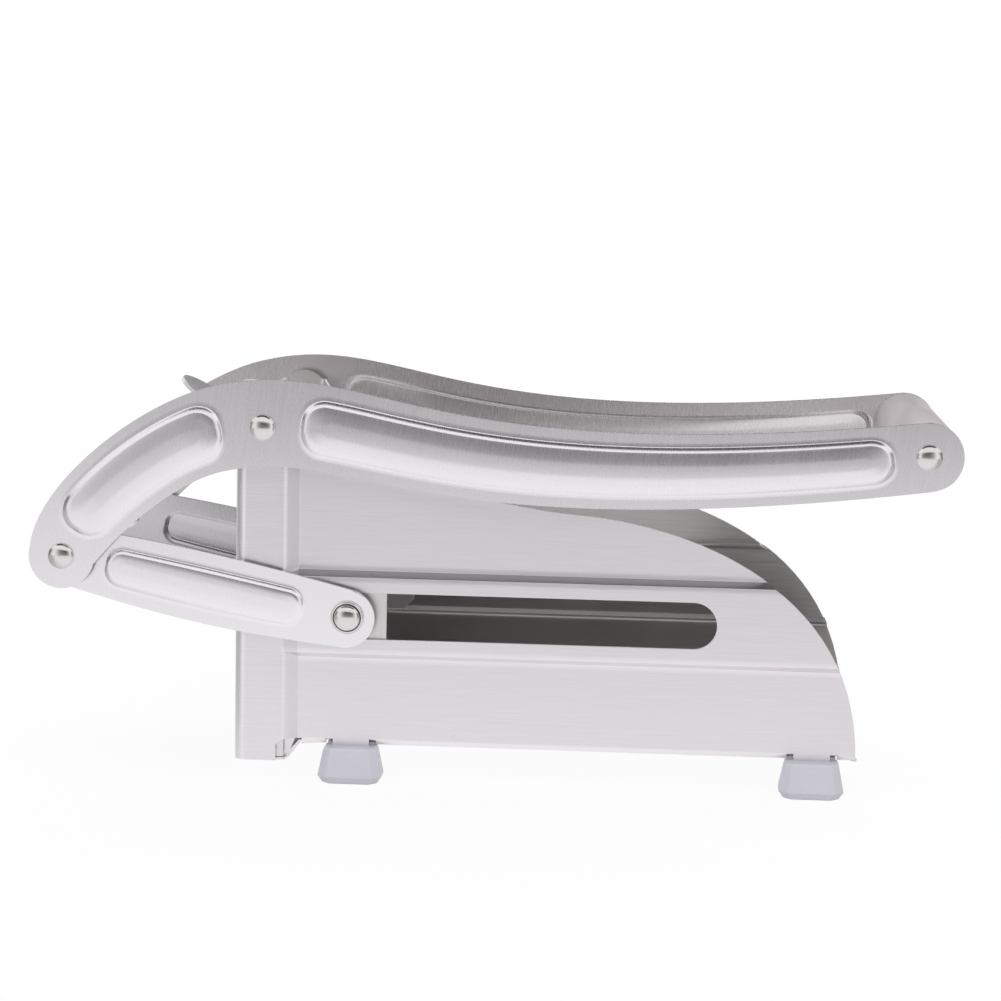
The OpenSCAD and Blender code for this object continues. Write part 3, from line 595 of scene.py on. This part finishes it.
crank_half = 9.3 * mm
mid_half = 12.0 * mm
grip_half = edge("far_arm", 0, high=True) - grip.x
crown = at(-13.5, -1.03)
crown_way = heading(14.7)
crank_pull = Vector((2.8 * mm, 0, 11.6 * mm))
front_line = [flat(crank), flat(crank) + crank_pull, crown - crown_way * 18.8 * mm, crown]
rear_line = [crown, crown + crown_way * 42.0 * mm, at(40.0, -22.4), flat(grip)]
front_half = [crank_half, 1.3 * crank_half, 0.93 * mid_half, mid_half]
rear_half = [mid_half, 1.06 * mid_half, 1.17 * grip_half, grip_half]
front_steps = spread(0, 1, 90)[:-1]
rear_steps = spread(0, 1, 230)
arm_line = Centreline(
    [bezier(front_line, t) for t in front_steps] + [bezier(rear_line, t) for t in rear_steps],
    [bezier(front_half, t) for t in front_steps] + [bezier(rear_half, t) for t in rear_steps])
print("arm length", round(arm_line.length / mm, 1))

# %% The lever arms
arm_t = 1.5 * mm
arm_out = edge("far_arm", 1) + arm_t
arm_boss_rise = edge("far_arm", 1, high=True) - arm_out + 0.25 * mm
boss_steep = math.radians(47)
cut_edge = 0.16 * mm


def arm_boss(start, end, share):
    """A boss between the places nearest to two points, as a share of the arm's widest half."""
    return Boss(
        arm_line.nearest(start), arm_line.nearest(end), half=share * mid_half, rise=arm_boss_rise,
        foot_r=0.7 * mm, shoulder_r=3.1 * mm, steep=boss_steep, skirt=1.1 * mm)


arm_bosses = [
    arm_boss(at(-57.7, -27.8), at(-11.4, -1.5), 0.69),
    arm_boss(at(10.4, -0.6), at(176.1, -4.6), 0.665),
]


def draw_arm():
    return draw_strap(arm_line, arm_bosses, mid_half, arm_out)


both_sides(draw_arm, "arm_strap", "arm", sheet=arm_t, round_edge=cut_edge)

# %% [markdown]
# A link is a straight strap from the crank pin to the shaft, bellied a little between its pins. It
# is fuller below the pins than above them, so its centre line sags and its half width grows alike.

# %% The links
link_t = 1.5 * mm
link_out = edge("far_link", 1) + link_t
link_boss_rise = edge("far_link", 1, high=True) - link_out + 0.15 * mm
link_blank_half = 9.4 * mm
link_way = (flat(shaft) - flat(crank)).normalized()
link_down = Vector((link_way.z, 0, -link_way.x))
link_end = flat(shaft) - link_way * 0.6 * mm
link_points, link_halves = [], []
for t in spread(0, 1, 100):
    belly = math.sin(math.pi * t)
    sag = (0.5 * t + 0.5 * belly) * mm
    link_points.append(flat(crank).lerp(link_end, t) + link_down * sag)
    link_halves.append((8.4 - 0.5 * t + 1.2 * belly) * mm + sag)
link_line = Centreline(link_points, link_halves)
link_boss = Boss(
    12.3 * mm, 70.3 * mm, half=5.6 * mm, rise=link_boss_rise,
    foot_r=0.5 * mm, shoulder_r=2.4 * mm, steep=boss_steep, skirt=0.8 * mm)


def draw_link():
    return draw_strap(link_line, [link_boss], link_blank_half, link_out)


both_sides(draw_link, "link_strap", "link", sheet=link_t, round_edge=cut_edge)

# %% [markdown]
# Round pieces are turned: a half profile is spun about the pin's axis. The profile is a list of
# radius and distance along the axis, as a turner would read it from a drawing.

# %% Turning
def turned(profile, centre, steps=48):
    """Spins a profile of (radius, place along Y) pairs, in metres, about a line through centre."""
    bm = bmesh.new()
    base = flat(centre)
    chain = [bm.verts.new(base + Vector((r, place, 0))) for r, place in profile]
    edges = [bm.edges.new(pair) for pair in zip(chain, chain[1:])]
    bmesh.ops.spin(
        bm, geom=chain + edges, cent=base, axis=(0, 1, 0), dvec=(0, 0, 0), angle=math.tau,
        steps=steps, use_merge=True)
    bmesh.ops.remove_doubles(bm, verts=bm.verts, dist=1e-7)
    bmesh.ops.recalc_face_normals(bm, faces=bm.faces)
    return bm


def dome(r, level, rise, rim=0.2 * mm, steps=9):
    """Profile of a domed head that sits on a level, from its edge to its crown."""
    curve = [(r * 0.97, level), (r, level + rim * 0.4), (r, level + rim)]
    for turn in spread(0, math.pi / 2, steps)[1:]:
        curve.append((r * math.cos(turn), level + rim + (rise - rim) * math.sin(turn)))
    curve[-1] = (0.0, level + rise)
    return curve


def plain_ring(node, inner, centre, soft=0.4 * mm):
    """A ring as wide and long as a CAD node, with softened outer corners."""
    low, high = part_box(node)
    outer = high.z - centre.z
    return turned(
        [(inner, low.y), (outer - soft, low.y), (outer, low.y + soft), (outer, high.y - soft),
         (outer - soft, high.y), (inner, high.y), (inner, low.y)], centre)


def to_both_ends(half):
    """A profile from the middle plane to one end, continued to the other end."""
    return [(r, -place) for r, place in reversed(half)] + half[1:]


# %% [markdown]
# The rivets have a plain shank and a domed head. The one at the pivot ends inside the wall in a
# low tail, a hair proud of the sheet, so that the two surfaces do not lie in one plane.

# %% Rivets
head_r = 3.7 * mm
head_rise = 1.8 * mm
pin_r = 3.0 * mm
neck_r = 2.5 * mm
ring_r = 4.75 * mm


def draw_rivet(node, r, centre, proud=0.0):
    """A shank with a domed head; its inner end may stand proud of the CAD's, a little narrower."""
    low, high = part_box(node)
    head = high.y - head_rise
    tail = [(0, low.y - proud), (r - 0.2 * mm, low.y - proud)] if proud else [(0, low.y)]
    return turned(tail + [(r, low.y), (r, head)] + dome(head_r, head, head_rise), centre)


def draw_pivot_rivet():
    return draw_rivet("far_pivot_rivet", pin_r, pivot, proud=0.12 * mm)


def draw_crank_rivet():
    return draw_rivet("far_crank_rivet", neck_r, crank)


both_sides(draw_pivot_rivet, "pivot_rivet_head", "pivot_rivet")
both_sides(draw_crank_rivet, "crank_rivet_head", "crank_rivet")

# %% [markdown]
# A sleeve keeps each arm off its wall, an eyelet lines the link's front hole, and a washer lies
# under each head of the cross shaft. The eyelet's inner end is a low dome with a groove round it,
# and the washer has a raised rim with a wide bevel, because that is where the light catches.


# %% Rings and eyelets
def draw_pivot_spacer():
    return plain_ring("far_pivot_spacer", pin_r + 0.05 * mm, pivot)


def draw_link_bush():
    low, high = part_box("far_link_bush")
    inner = edge("far_link", 1)
    soft = 0.2 * mm
    rise = 0.5 * (inner - low.y)
    lip = low.y + rise
    crown_of_dome = [(0, low.y), (0.3 * ring_r, low.y + 0.1 * rise), (0.55 * ring_r, low.y + 0.5 * rise)]
    groove = [(0.66 * ring_r, inner), (0.74 * ring_r, inner)]
    rim = [(0.8 * ring_r, lip), (0.9 * ring_r, lip - soft), (ring_r, lip), (ring_r, inner)]
    neck = [(pin_r, inner), (pin_r, link_out)]
    flange = [(ring_r, link_out), (ring_r, high.y - soft), (ring_r - soft, high.y), (0, high.y)]
    return turned(crown_of_dome + groove + rim + neck + flange, crank)


def draw_shaft_ring():
    low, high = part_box("far_shaft_ring")
    thick = high.y - low.y
    rim_y, floor_y = low.y + 0.1 * thick, low.y + 0.3 * thick
    return turned(
        [(neck_r, low.y), (ring_r, low.y), (ring_r, rim_y), (ring_r - 0.45 * mm, high.y),
         (ring_r - 0.7 * mm, high.y), (ring_r - 1.0 * mm, floor_y), (neck_r, floor_y),
         (neck_r, low.y)], shaft)


both_sides(draw_pivot_spacer, "pivot_spacer_sleeve", "pivot_spacer")
both_sides(draw_link_bush, "link_eyelet", "link_bush")
both_sides(draw_shaft_ring, "shaft_washer", "shaft_ring")

# %% [markdown]
# The cross shaft goes through both slots, both links and both washers, and is riveted outside. Its
# thick middle carries a roller in each slot.

# %% Cross shaft and rollers
shaft_r = 3.5 * mm


def draw_shaft():
    high = edge("slot_shaft", 1, high=True)
    step_y = edge("far_link", 1) - 0.2 * mm
    ring_out = edge("far_shaft_ring", 1, high=True)
    thick = [(shaft_r, 0.0), (shaft_r, step_y - 0.3 * mm), (shaft_r - 0.3 * mm, step_y)]
    thin = [(neck_r, step_y), (neck_r, ring_out)]
    return turned(to_both_ends(thick + thin + dome(head_r, ring_out, high - ring_out)), shaft)


def draw_roller():
    return plain_ring("far_slot_roller", shaft_r, shaft)


finish_piece(draw_shaft(), "cross_shaft", "slot_shaft")
print("cross shaft", round(2 * edge("slot_shaft", 1, high=True) / mm, 1), "mm long")
both_sides(draw_roller, "slot_roller_wheel", "slot_roller")

# %% [markdown]
# The grip is a tube with rolled ends. A tie rod runs through it and is riveted outside the arms,
# and a plug at each end centres the rod in the tube.

# %% The hand grip
grip_r = edge("grip_tube", 2, high=True) - grip.z
grip_end = edge("grip_tube", 1, high=True)
grip_wall = 1.0 * mm
grip_roll = 0.6 * mm


def draw_grip():
    half = [(grip_r, 0.0), (grip_r, grip_end - grip_roll)]
    for turn in (0.5, 1.0, math.pi / 2):
        back, short = grip_roll * (1 - math.cos(turn)), grip_roll * (1 - math.sin(turn))
        half.append((grip_r - back, grip_end - short))
    half.append((grip_r - grip_wall, grip_end))
    loop = to_both_ends(half)
    return turned(loop + [loop[0]], grip, steps=96)


def draw_grip_rod():
    high = edge("grip_rod", 1, high=True)
    half = [(pin_r, 0.0), (pin_r, arm_out)] + dome(head_r, arm_out, high - arm_out)
    return turned(to_both_ends(half), grip)


def draw_grip_plug():
    return plain_ring("far_grip_plug", pin_r, grip, 0.3 * mm)


finish_piece(draw_grip(), "grip_sleeve", "grip_tube")
print("grip", round(2 * grip_end / mm, 1), "mm long and", round(2 * grip_r / mm, 1), "mm thick")
finish_piece(draw_grip_rod(), "grip_tie_rod", "grip_rod")
both_sides(draw_grip_plug, "grip_end_plug", "grip_plug")

# %% [markdown]
# A trough wall is sheet steel again, but its shape is not a strap. Here the flat blank is drawn
# first, with the slot cut out of it. bisect_plane scores it along every bend, so that vertices lie
# where the sheet will bend. Then each vertex is moved: the relief is pressed, the front edge is
# rolled round into a lip and the bottom edge is folded into the flange that carries the floor.

# %% Sizes of a trough wall
sheet_t = 1.0 * mm
press_d = 3.0 * mm
band_out = edge("far_wall", 1, high=True)
panel_out = band_out - press_d
wall_front = edge("far_wall", 0)
wall_rear = edge("far_wall", 0, high=True)
trough_z = edge("trough_floor", 2) - sheet_t
seat_z = edge("blade_seat", 2)

# The channel at the front and the step behind it
channel_rear = at(6.3, 0).x
step_front = channel_rear - 0.7 * mm
step_run = 4.0 * mm
round_soft = 1.0 * mm
crisp_soft = 0.2 * mm

# The slot and the band round it
slot_z = shaft.z
slot_r = 6.7 * mm
slot_end = shaft.x + 98.0 * mm
band_half = 11.1 * mm
band_run = 1.5 * mm
ease_run = 1.7 * mm
ease_rise = 0.12 * mm

# The rolled front lip and the folded bottom flange
lip_r = 3.4 * mm
lip_d = 4.0 * mm
lip_quarter = lip_r * math.pi / 2
fold_x = wall_front + lip_r
bend_r = 2.0 * mm
bend_quarter = bend_r * math.pi / 2
fold_z = trough_z + bend_r
flange_w = 10.0 * mm

# The tabs that stand in the feet
tab_half = 5.2 * mm
tab_notch = 2.0 * mm
tab_down = 5.6 * mm
notch_up = 1.8 * mm
feet_x = [middle("far_rear_foot").x, middle("far_front_foot").x]
print("wall", round((wall_rear - wall_front) / mm, 1), "mm long, slot", round((slot_end - shaft.x) / mm, 1))

# %% [markdown]
# The relief depends on two distances only: from the channel's corner and from the band's edge.
# Each has its own profile, and the higher one wins. Corners are crisp where the photograph shows a
# sharp line and round where it shows a soft one.


# %% Profile of the relief
def corner(x, soft):
    """Zero before a corner and a slope of one after it, blended over soft on either side."""
    if x <= -soft:
        return 0.0
    return x if x >= soft else (x + soft) ** 2 / (4 * soft)


def step(d):
    """Height of the channel as d runs from its inner corner to its round outer one."""
    return press_d / step_run * (corner(d, crisp_soft) - corner(d - step_run, round_soft))


def shelf(d):
    """Height of the band: the sheet leans a little, turns up steeply and leans again."""
    lean = 0.0
    for start in (0.0, band_run + ease_run):
        share = share_of((d + ease_run - start) / ease_run)
        lean += ease_rise * (share**2 if start == 0 else share * (2 - share))
    climb = corner(d, crisp_soft) - corner(d - band_run, crisp_soft)
    return lean + (press_d - 2 * ease_rise) / band_run * climb


def relief(x, z):
    """How far the wall is pressed outwards from its panel."""
    return max(step(step_front + step_run - x), shelf(band_half + band_run - abs(z - slot_z)))


# %% [markdown]
# The outline starts at the front bottom corner, goes up the lip and round the ear, along the hollow
# top edge to the rear, and back along the bottom with its flanges and tabs.


# %% Outline of the blank
def top_edge():
    """The lip's top, the round ear and the hollow edge that falls to the rear corner."""
    shoulder = pivot.z + 4.3 * mm
    top = pivot.z + 6.3 * mm
    ear = (pivot.x - 0.5 * mm, pivot.z + 1.9 * mm)
    ear_r = 7.0 * mm
    lift = math.degrees(math.asin((top - ear[1]) / ear_r))
    hip = at(90, -23.75)
    hip_way = heading(-4)
    rear = Vector((wall_rear, 0, trough_z))
    neck_line = [at(9.2, 2.3), at(15.2, -9.7), hip - hip_way * 30.1 * mm, hip]
    back_line = [hip, hip + hip_way * 22.4 * mm, rear + Vector((-0.5 * mm, 0, 54.7 * mm)), rear]
    points = [(fold_x - lip_quarter, shoulder), (fold_x - 0.4 * lip_quarter, top)]
    points += arc(ear, ear_r, 180 - lift, lift, 16) + [(channel_rear, top)]
    for line, steps in ((neck_line, 22), (back_line, 30)):
        points += [(p.x, p.z) for p in (bezier(line, t) for t in spread(0, 1, steps))]
    return [(fold_x - lip_quarter - lip_d, shoulder)] + points


def bottom_edge():
    """From the rear: a flange, then a tab between two notches, twice, and the seat's notch."""
    flange_z = fold_z - bend_quarter - flange_w
    slant = 0.6 * mm
    high, low = trough_z + notch_up, trough_z - tab_down
    points = []
    start = wall_rear - bend_r
    for x in feet_x:
        end = x + tab_half + tab_notch
        points += [(start, trough_z), (start - slant, flange_z), (end + slant, flange_z), (end, trough_z)]
        start = x - tab_half - tab_notch
        points += [(end, high), (x + tab_half, high), (x + tab_half, low)]
        points += [(x - tab_half, low), (x - tab_half, high), (start, high), (start, trough_z)]
    notch_rear, notch_front = pivot.x + 10.7 * mm, pivot.x + 3.6 * mm
    cut = 1.6 * mm
    points += [(notch_rear, trough_z), (notch_rear, trough_z + cut), (notch_front + cut, trough_z + cut)]
    return points + [(notch_front, trough_z), (notch_front, seat_z)]


def wall_outline():
    """Outline of the flat blank: the lip and the flanges are still unfolded."""
    return [(fold_x - lip_quarter - lip_d, seat_z)] + top_edge() + bottom_edge()


def slot_outline():
    right = arc((slot_end, slot_z), slot_r, 90, -90, 20)
    left = arc((shaft.x, slot_z), slot_r, 270, 90, 20)
    return right + left


# %% Score lines
def score(bm, axis, places):
    """Cuts the sheet along straight lines, so that it can bend there."""
    for place in places:
        point, normal = Vector(), Vector()
        point[axis] = place
        normal[axis] = 1
        bmesh.ops.bisect_plane(
            bm, geom=bm.verts[:] + bm.edges[:] + bm.faces[:], dist=1e-7, plane_co=point, plane_no=normal)


def across_corner(place, soft):
    """Score lines that lie close together across a corner."""
    return spread(place - soft, place + soft, 6)


def mitre(bm, outer, inner):
    """Cuts the sheet along the diagonal where two ramps meet, just in that corner."""
    a, b = Vector((outer[0], 0, outer[1])), Vector((inner[0], 0, inner[1]))
    across = Vector((b.z - a.z, 0, a.x - b.x)).normalized()
    reach = (b - a).length / 2 + round_soft
    faces = [f for f in bm.faces if (f.calc_center_median() - (a + b) / 2).length < reach]
    edges = {e for f in faces for e in f.edges}
    verts = {v for f in faces for v in f.verts}
    bmesh.ops.bisect_plane(bm, geom=[*verts, *edges, *faces], dist=1e-7, plane_co=a, plane_no=across)


def score_wall(bm):
    """All score lines of a wall: lip, step, tabs, fold and the band's two edges."""
    score(bm, 0, spread(fold_x - lip_quarter, fold_x, 9)
          + across_corner(step_front + step_run, crisp_soft) + across_corner(step_front, round_soft))
    tab_reach = (tab_half, tab_half + tab_notch)
    score(bm, 0, [x + side * reach for x in feet_x for side in (-1, 1) for reach in tab_reach])
    score(bm, 2, spread(fold_z - bend_quarter, fold_z, 7))
    for side in (-1, 1):
        top, foot = slot_z + side * band_half, slot_z + side * (band_half + band_run)
        score(bm, 2, across_corner(top, crisp_soft) + across_corner(foot, crisp_soft))
        score(bm, 2, spread(top - side * ease_run, top, 4) + spread(foot, foot + side * ease_run, 4))
        mitre(bm, (step_front, top), (step_front + step_run, foot))


# %% Press, roll and fold
# How much painted shade the step gets.
step_painted_shade = 0.15
band_top = slot_z + band_half + band_run
flange_front = pivot.x + 10.8 * mm


def painted_shade_share(x, z):
    """How much painted shade a point of the blank gets: the step a little, the upper slope of the band
    clearly.
    """
    if 0 < x - step_front < step_run:
        return step_painted_shade
    if x > step_front and -1e-7 < band_top - z < band_run + 1e-7:
        return (0.45 if z > band_top - band_run / 2 else 0.7) * (0.6 if x < pivot.x else 1.0)
    return 0.0


def is_flange(x):
    """Whether the bottom edge is folded inwards here, rather than a tab or a corner."""
    tab = any(abs(x - foot) < tab_half + tab_notch - 0.05 * mm for foot in feet_x)
    return flange_front < x < wall_rear - 1.9 * mm and not tab


def draw_wall():
    """The whole wall: blank, score lines, relief, lip and flange."""
    bm, _ = blank(wall_outline(), slot_outline())
    score_wall(bm)
    dull = bm.verts.layers.float.new("dull")
    for v in bm.verts:
        x, z = v.co.x, v.co.z
        # Marks painted shade on the step and on the band's upper slope.
        v[dull] = painted_shade_share(x, z)
        v.co.y = panel_out + relief(x, z)
        roll = fold_x - x
        if roll > 0:
            turn = min(roll, lip_quarter) / lip_r
            v.co.x = fold_x - lip_r * math.sin(turn)
            v.co.y = band_out - lip_r * (1 - math.cos(turn)) - max(0.0, roll - lip_quarter)
        fold = fold_z - z
        if fold > 0 and is_flange(x):
            turn = min(fold, bend_quarter) / bend_r
            v.co.z = fold_z - bend_r * math.sin(turn)
            v.co.y = panel_out - bend_r * (1 - math.cos(turn)) - max(0.0, fold - bend_quarter)
    face_outwards(bm)
    return bm


both_sides(draw_wall, "wall_sheet", "wall", sheet=sheet_t, round_edge=0.12 * mm)

# %% [markdown]
# A foot is a soft plastic cap pushed over a tab of the wall. It is moulded as a low pyramid with
# cut corners, widest near the table. One eight-sided face is drawn at its top, and each extrusion
# of that face is moved down and scaled to the next section. A low stem on top fills the gap behind
# the tab, where the flange is cut away.

# %% Feet
foot_cut = 2.6 * mm
foot_sections = [(0.0, 0.80, 0.74), (0.08, 0.84, 0.80), (0.80, 1.0, 1.0), (1.0, 0.85, 0.84)]
stem_size = (2 * (tab_half + tab_notch) - 0.6 * mm, 6.0 * mm, notch_up)
stem_in = 5.0 * mm


def draw_foot(node):
    """A foot from its sections: how far down, and its width and depth as shares of its box."""
    low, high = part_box(node)
    mid = (low + high) / 2
    half_x, half_y = (high.x - low.x) / 2, (high.y - low.y) / 2
    corners = [(half_x, half_y - foot_cut), (half_x - foot_cut, half_y)]
    corners += [(-x, y) for x, y in reversed(corners)]
    corners += [(-x, -y) for x, y in corners]
    bm = bmesh.new()
    face = bm.faces.new([bm.verts.new((mid.x + x, mid.y + y, high.z)) for x, y in corners])
    bmesh.ops.reverse_faces(bm, faces=[face])
    centre = Matrix.Translation(-Vector((mid.x, mid.y, 0)))
    before = (0.0, 1.0, 1.0)
    for section in foot_sections:
        down, grow_x, grow_y = section
        if down:
            made = bmesh.ops.extrude_face_region(bm, geom=[face])["geom"]
            face = next(f for f in made if isinstance(f, bmesh.types.BMFace))
        verts = face.verts[:]
        grow = (grow_x / before[1], grow_y / before[2], 1)
        bmesh.ops.scale(bm, vec=grow, space=centre, verts=verts)
        bmesh.ops.translate(bm, vec=(0, 0, (before[0] - down) * (high.z - low.z)), verts=verts)
        before = section
    bmesh.ops.holes_fill(bm, edges=[e for e in bm.edges if e.is_boundary])
    stem = bmesh.ops.create_cube(bm, size=1.0)["verts"]
    stem_y = math.copysign(panel_out - stem_in, mid.y)
    bmesh.ops.scale(bm, vec=stem_size, verts=stem)
    bmesh.ops.translate(bm, vec=(mid.x, stem_y, high.z), verts=stem)
    bmesh.ops.recalc_face_normals(bm, faces=bm.faces)
    return bm


for side in ("near", "far"):
    for place in ("front", "rear"):
        foot = f"{side}_{place}_foot"
        finish_piece(draw_foot(foot), foot + "_cap", foot, round_edge=0.35 * mm, segments=3)
print("four feet", round(edge("far_rear_foot", 2, high=True) / mm, 1), "mm tall")

# %% [markdown]
# The seat's ends are folded down beside the channel. This small cheek shows in the notch at the
# wall's front bottom corner.

# %% Seat cheeks
def draw_cheek():
    """A plate with a slanted rear edge, just inside the wall's panel."""
    top, low = trough_z + 2.4 * mm, seat_z + 0.3 * mm
    front, low_rear, top_rear = (pivot.x + x * mm for x in (3.0, 6.3, 9.3))
    bm, _ = blank([(front, low), (low_rear, low), (top_rear, top), (front, top)])
    bmesh.ops.translate(bm, vec=(0, panel_out - 0.3 * mm, 0), verts=bm.verts)
    face_outwards(bm)
    return bm


for near, side in ((False, "far"), (True, "near")):
    finish_piece(
        draw_cheek(), f"{side}_seat_cheek", "blade_seat", near, sheet=0.8 * mm, round_edge=0.12 * mm)
print("two seat cheeks")

# %% [markdown]
# The other pieces are blocks and folded plates whose CAD solids already have the right form. Each
# is copied, its loose triangles are merged into whole faces, and its edges are rounded, because a
# real edge always catches a line of light.

# %% Rounded copies
def softened(node, name, width, segments=2):
    """A copy of a CAD node with merged faces and round edges."""
    bm = bmesh.new()
    bm.from_mesh(frame["nodes"][node].data)
    bmesh.ops.remove_doubles(bm, verts=bm.verts, dist=2e-6)
    bmesh.ops.dissolve_limit(bm, angle_limit=math.radians(1), verts=bm.verts, edges=bm.edges)
    return finish_piece(bm, name, node, round_edge=width, segments=segments)


softened("trough_floor", "floor_plate", 0.15 * mm)
softened("blade_seat", "seat_ledge", 0.15 * mm)
softened("blade_frame", "blade_frame_sheet", 0.2 * mm)
softened("pusher_block", "pusher_studs", 0.35 * mm)
softened("pusher_carrier", "pusher_carrier_sheet", 0.2 * mm)
softened("carrier_screws", "carrier_screw_heads", 0.3 * mm)
for k in range(1, 6):
    softened(f"vertical_blade_{k}", f"upright_strip_{k}", 0.06 * mm, 1)
    softened(f"horizontal_blade_{k}", f"level_strip_{k}", 0.06 * mm, 1)
print("softened 6 plates and blocks and 10 strips")

# %% [markdown]
# Steel has hardly a colour of its own: it shows the room. A photographer's room has a pale table
# in front, a dark gap at the height of the lens, bright boxes above it and a dark ceiling. The
# floor below is plain and pale, and rays that see it straight or in metal find nearly white paper.
# Metal that faces sideways or far off finds the floor greyer, as a table is away from its lamps.
# The dark gap is a ring of card and the ceiling a disc. Both are there for reflections only, so
# they throw no shadow and leave the light on the object alone.

# %% What a ray sees
def seen(s):
    """1 for rays from the camera, off gloss and through glass, and 0 for those that carry light."""
    kinds = "Is Camera Ray", "Is Glossy Ray", "Is Transmission Ray"
    camera, gloss, through = [s.node("ShaderNodeLightPath", out=kind) for kind in kinds]
    return s.maths("MAXIMUM", s.maths("MAXIMUM", camera, gloss), through)


def glowing(s, strength):
    return s.node("ShaderNodeEmission", {}, {"Color": rgb(1, 1, 1), "Strength": strength})


def staged(name, bm):
    """Makes a stage object of a bmesh, with a new material of its own."""
    stage = mesh_object(name, bm)
    material, s = new_shades(name)
    stage.data.materials.append(material)
    return stage, s


# %% Floor
floor_radius = 30.0
floor_glow = 1.03
floor_dim = 0.1
bm = bmesh.new()
bmesh.ops.create_circle(bm, cap_ends=True, radius=floor_radius, segments=96)
floor, s = staged("floor", bm)
x, y = s.parts(s.place())
around = x * x + y * y
near = s.maths("SUBTRACT", 1.0, around * 0.8, clamp=True)
side = s.maths("MULTIPLY", x * x - y * y, 30.0, clamp=True)
away = s.maths("MINIMUM", around * 1.1, 1.0)
in_gloss = s.node("ShaderNodeLightPath", out="Is Glossy Ray")
grey = in_gloss * (side * 0.5 + away * 0.2 + 0.02)
pale = s.node("ShaderNodeMixShader", {}, {0: grey, 1: glowing(s, floor_glow), 2: glowing(s, floor_dim)})
matte = s.node("ShaderNodeBsdfDiffuse", {}, {"Color": rgb(0.9, 0.9, 0.9)})
s.surface("ShaderNodeMixShader", {0: seen(s) * (1.0 - near * 0.12), 1: matte, 2: pale})
print(floor.name, 2 * floor_radius, "m across")

# %% World
world = bpy.data.worlds.new("studio")
bpy.context.scene.world = world
s = Shades(world)
background = {"Color": rgb(1, 1, 1), "Strength": seen(s) * 0.45 + 0.55}
sky = s.node("ShaderNodeBackground", {}, background)
s.node("ShaderNodeOutputWorld", {}, {"Surface": sky})

# %% [markdown]
# A card is a mesh that glows by itself and is seen in metal only. The ring is lighter at the four
# corners of the room, where softboxes spill past its edge, and a little lighter near the table.

# %% Cards
ring_radius = 0.88
ring_height = 0.4
ceiling_height = 1.5
ceiling_radius = 1.15


def card(name, bm, glow, corner_glow=0.0, low_glow=0.0):
    """A card that only reflections see; it can be lighter at the room's four corners and low down."""
    stage, s = staged(name, bm)
    x, y, z = s.parts(s.place(), 3)
    square = (x * x) * (y * y) * (4 / ring_radius**4)
    level = square * square * corner_glow + (1.0 - z * (1 / ring_height)) * low_glow + glow
    tone = s.blend(level, rgb(0, 0, 0), rgb(1, 1, 1))
    s.surface("ShaderNodeEmission", {"Color": tone, "Strength": 1.0})
    stage.visible_camera = False
    stage.visible_diffuse = False
    stage.visible_shadow = False


bm = bmesh.new()
bmesh.ops.create_circle(bm, radius=ring_radius, segments=96)
made = bmesh.ops.extrude_edge_only(bm, edges=bm.edges)["geom"]
upper = [v for v in made if isinstance(v, bmesh.types.BMVert)]
bmesh.ops.translate(bm, vec=(0, 0, ring_height), verts=upper)
card("lens_gap", bm, 0.07, corner_glow=0.9, low_glow=0.2)
bm = bmesh.new()
bmesh.ops.create_circle(bm, cap_ends=True, radius=ceiling_radius, segments=64)
bmesh.ops.translate(bm, vec=(0, 0, ceiling_height), verts=bm.verts)
card("ceiling", bm, 0.08)
print("a ring and a disc of card")

# %% [markdown]
# Two wide area lamps light the object, one in front and one behind. The front and the back then
# get the same plain light. Metal sees a white card in the place of each lamp, so how bright the
# reflections are can be set apart from how bright the light is.

# %% Lamps
box_width = 1.9
box_height = 0.87
box_power = 4.6
box_place = Vector((0, 0.92, 0.87))
aim = Vector((0, 0, 0.1))


def softbox(name, side, card_share):
    """A rectangular lamp in front (-1) or behind (1), with the card that metal sees in its place."""
    place = box_place * Vector((1, side, 1))
    turn = (aim - place).to_track_quat("-Z", "Y")
    lamp = bpy.data.lights.new(name, "AREA")
    lamp.shape = "RECTANGLE"
    lamp.size = box_width
    lamp.size_y = box_height
    lamp.energy = box_power
    holder = link_object(name, lamp)
    holder.visible_glossy = False
    holder.location = place
    holder.rotation_euler = turn.to_euler()
    bm = bmesh.new()
    bmesh.ops.create_grid(bm, x_segments=1, y_segments=1, size=0.5)
    bmesh.ops.scale(bm, vec=(box_width, box_height * card_share, 1), verts=bm.verts)
    there = Matrix.Translation(place) @ turn.to_matrix().to_4x4()
    bmesh.ops.transform(bm, matrix=there, verts=bm.verts)
    card(name + "_card", bm, 1.0)


softbox("front_box", -1, 1.0)
softbox("back_box", 1, 0.55)

# %% [markdown]
# The camera's place, turn and focal length were fitted to points of the photograph whose places on
# the object are known, such as the rivets and the corners of the walls.

# %% Camera
focal_px = 2783.0
frame_px = 1001.0
sensor_mm = 36.0
eye = at(117.35, 81.36) + Vector((0, -818.8 * mm, 0))
yaw, pitch, roll = (math.radians(a) for a in (3.713, 7.388, 1.116))
level = math.cos(pitch)
ahead = Vector((-math.sin(yaw) * level, math.cos(yaw) * level, -math.sin(pitch)))
level_right = Vector((math.cos(yaw), math.sin(yaw), 0))
level_up = level_right.cross(ahead)
right = math.cos(roll) * level_right + math.sin(roll) * level_up
up = -math.sin(roll) * level_right + math.cos(roll) * level_up
lens = bpy.data.cameras.new("camera")
lens.sensor_width = sensor_mm
lens.lens = focal_px / frame_px * sensor_mm
camera = link_object("camera", lens)
camera.matrix_world = Matrix.Translation(eye) @ Matrix((right, up, -ahead)).transposed().to_4x4()
bpy.context.scene.camera = camera
bpy.context.scene.view_settings.view_transform = "Standard"
print("lens", round(lens.lens, 1), "mm")
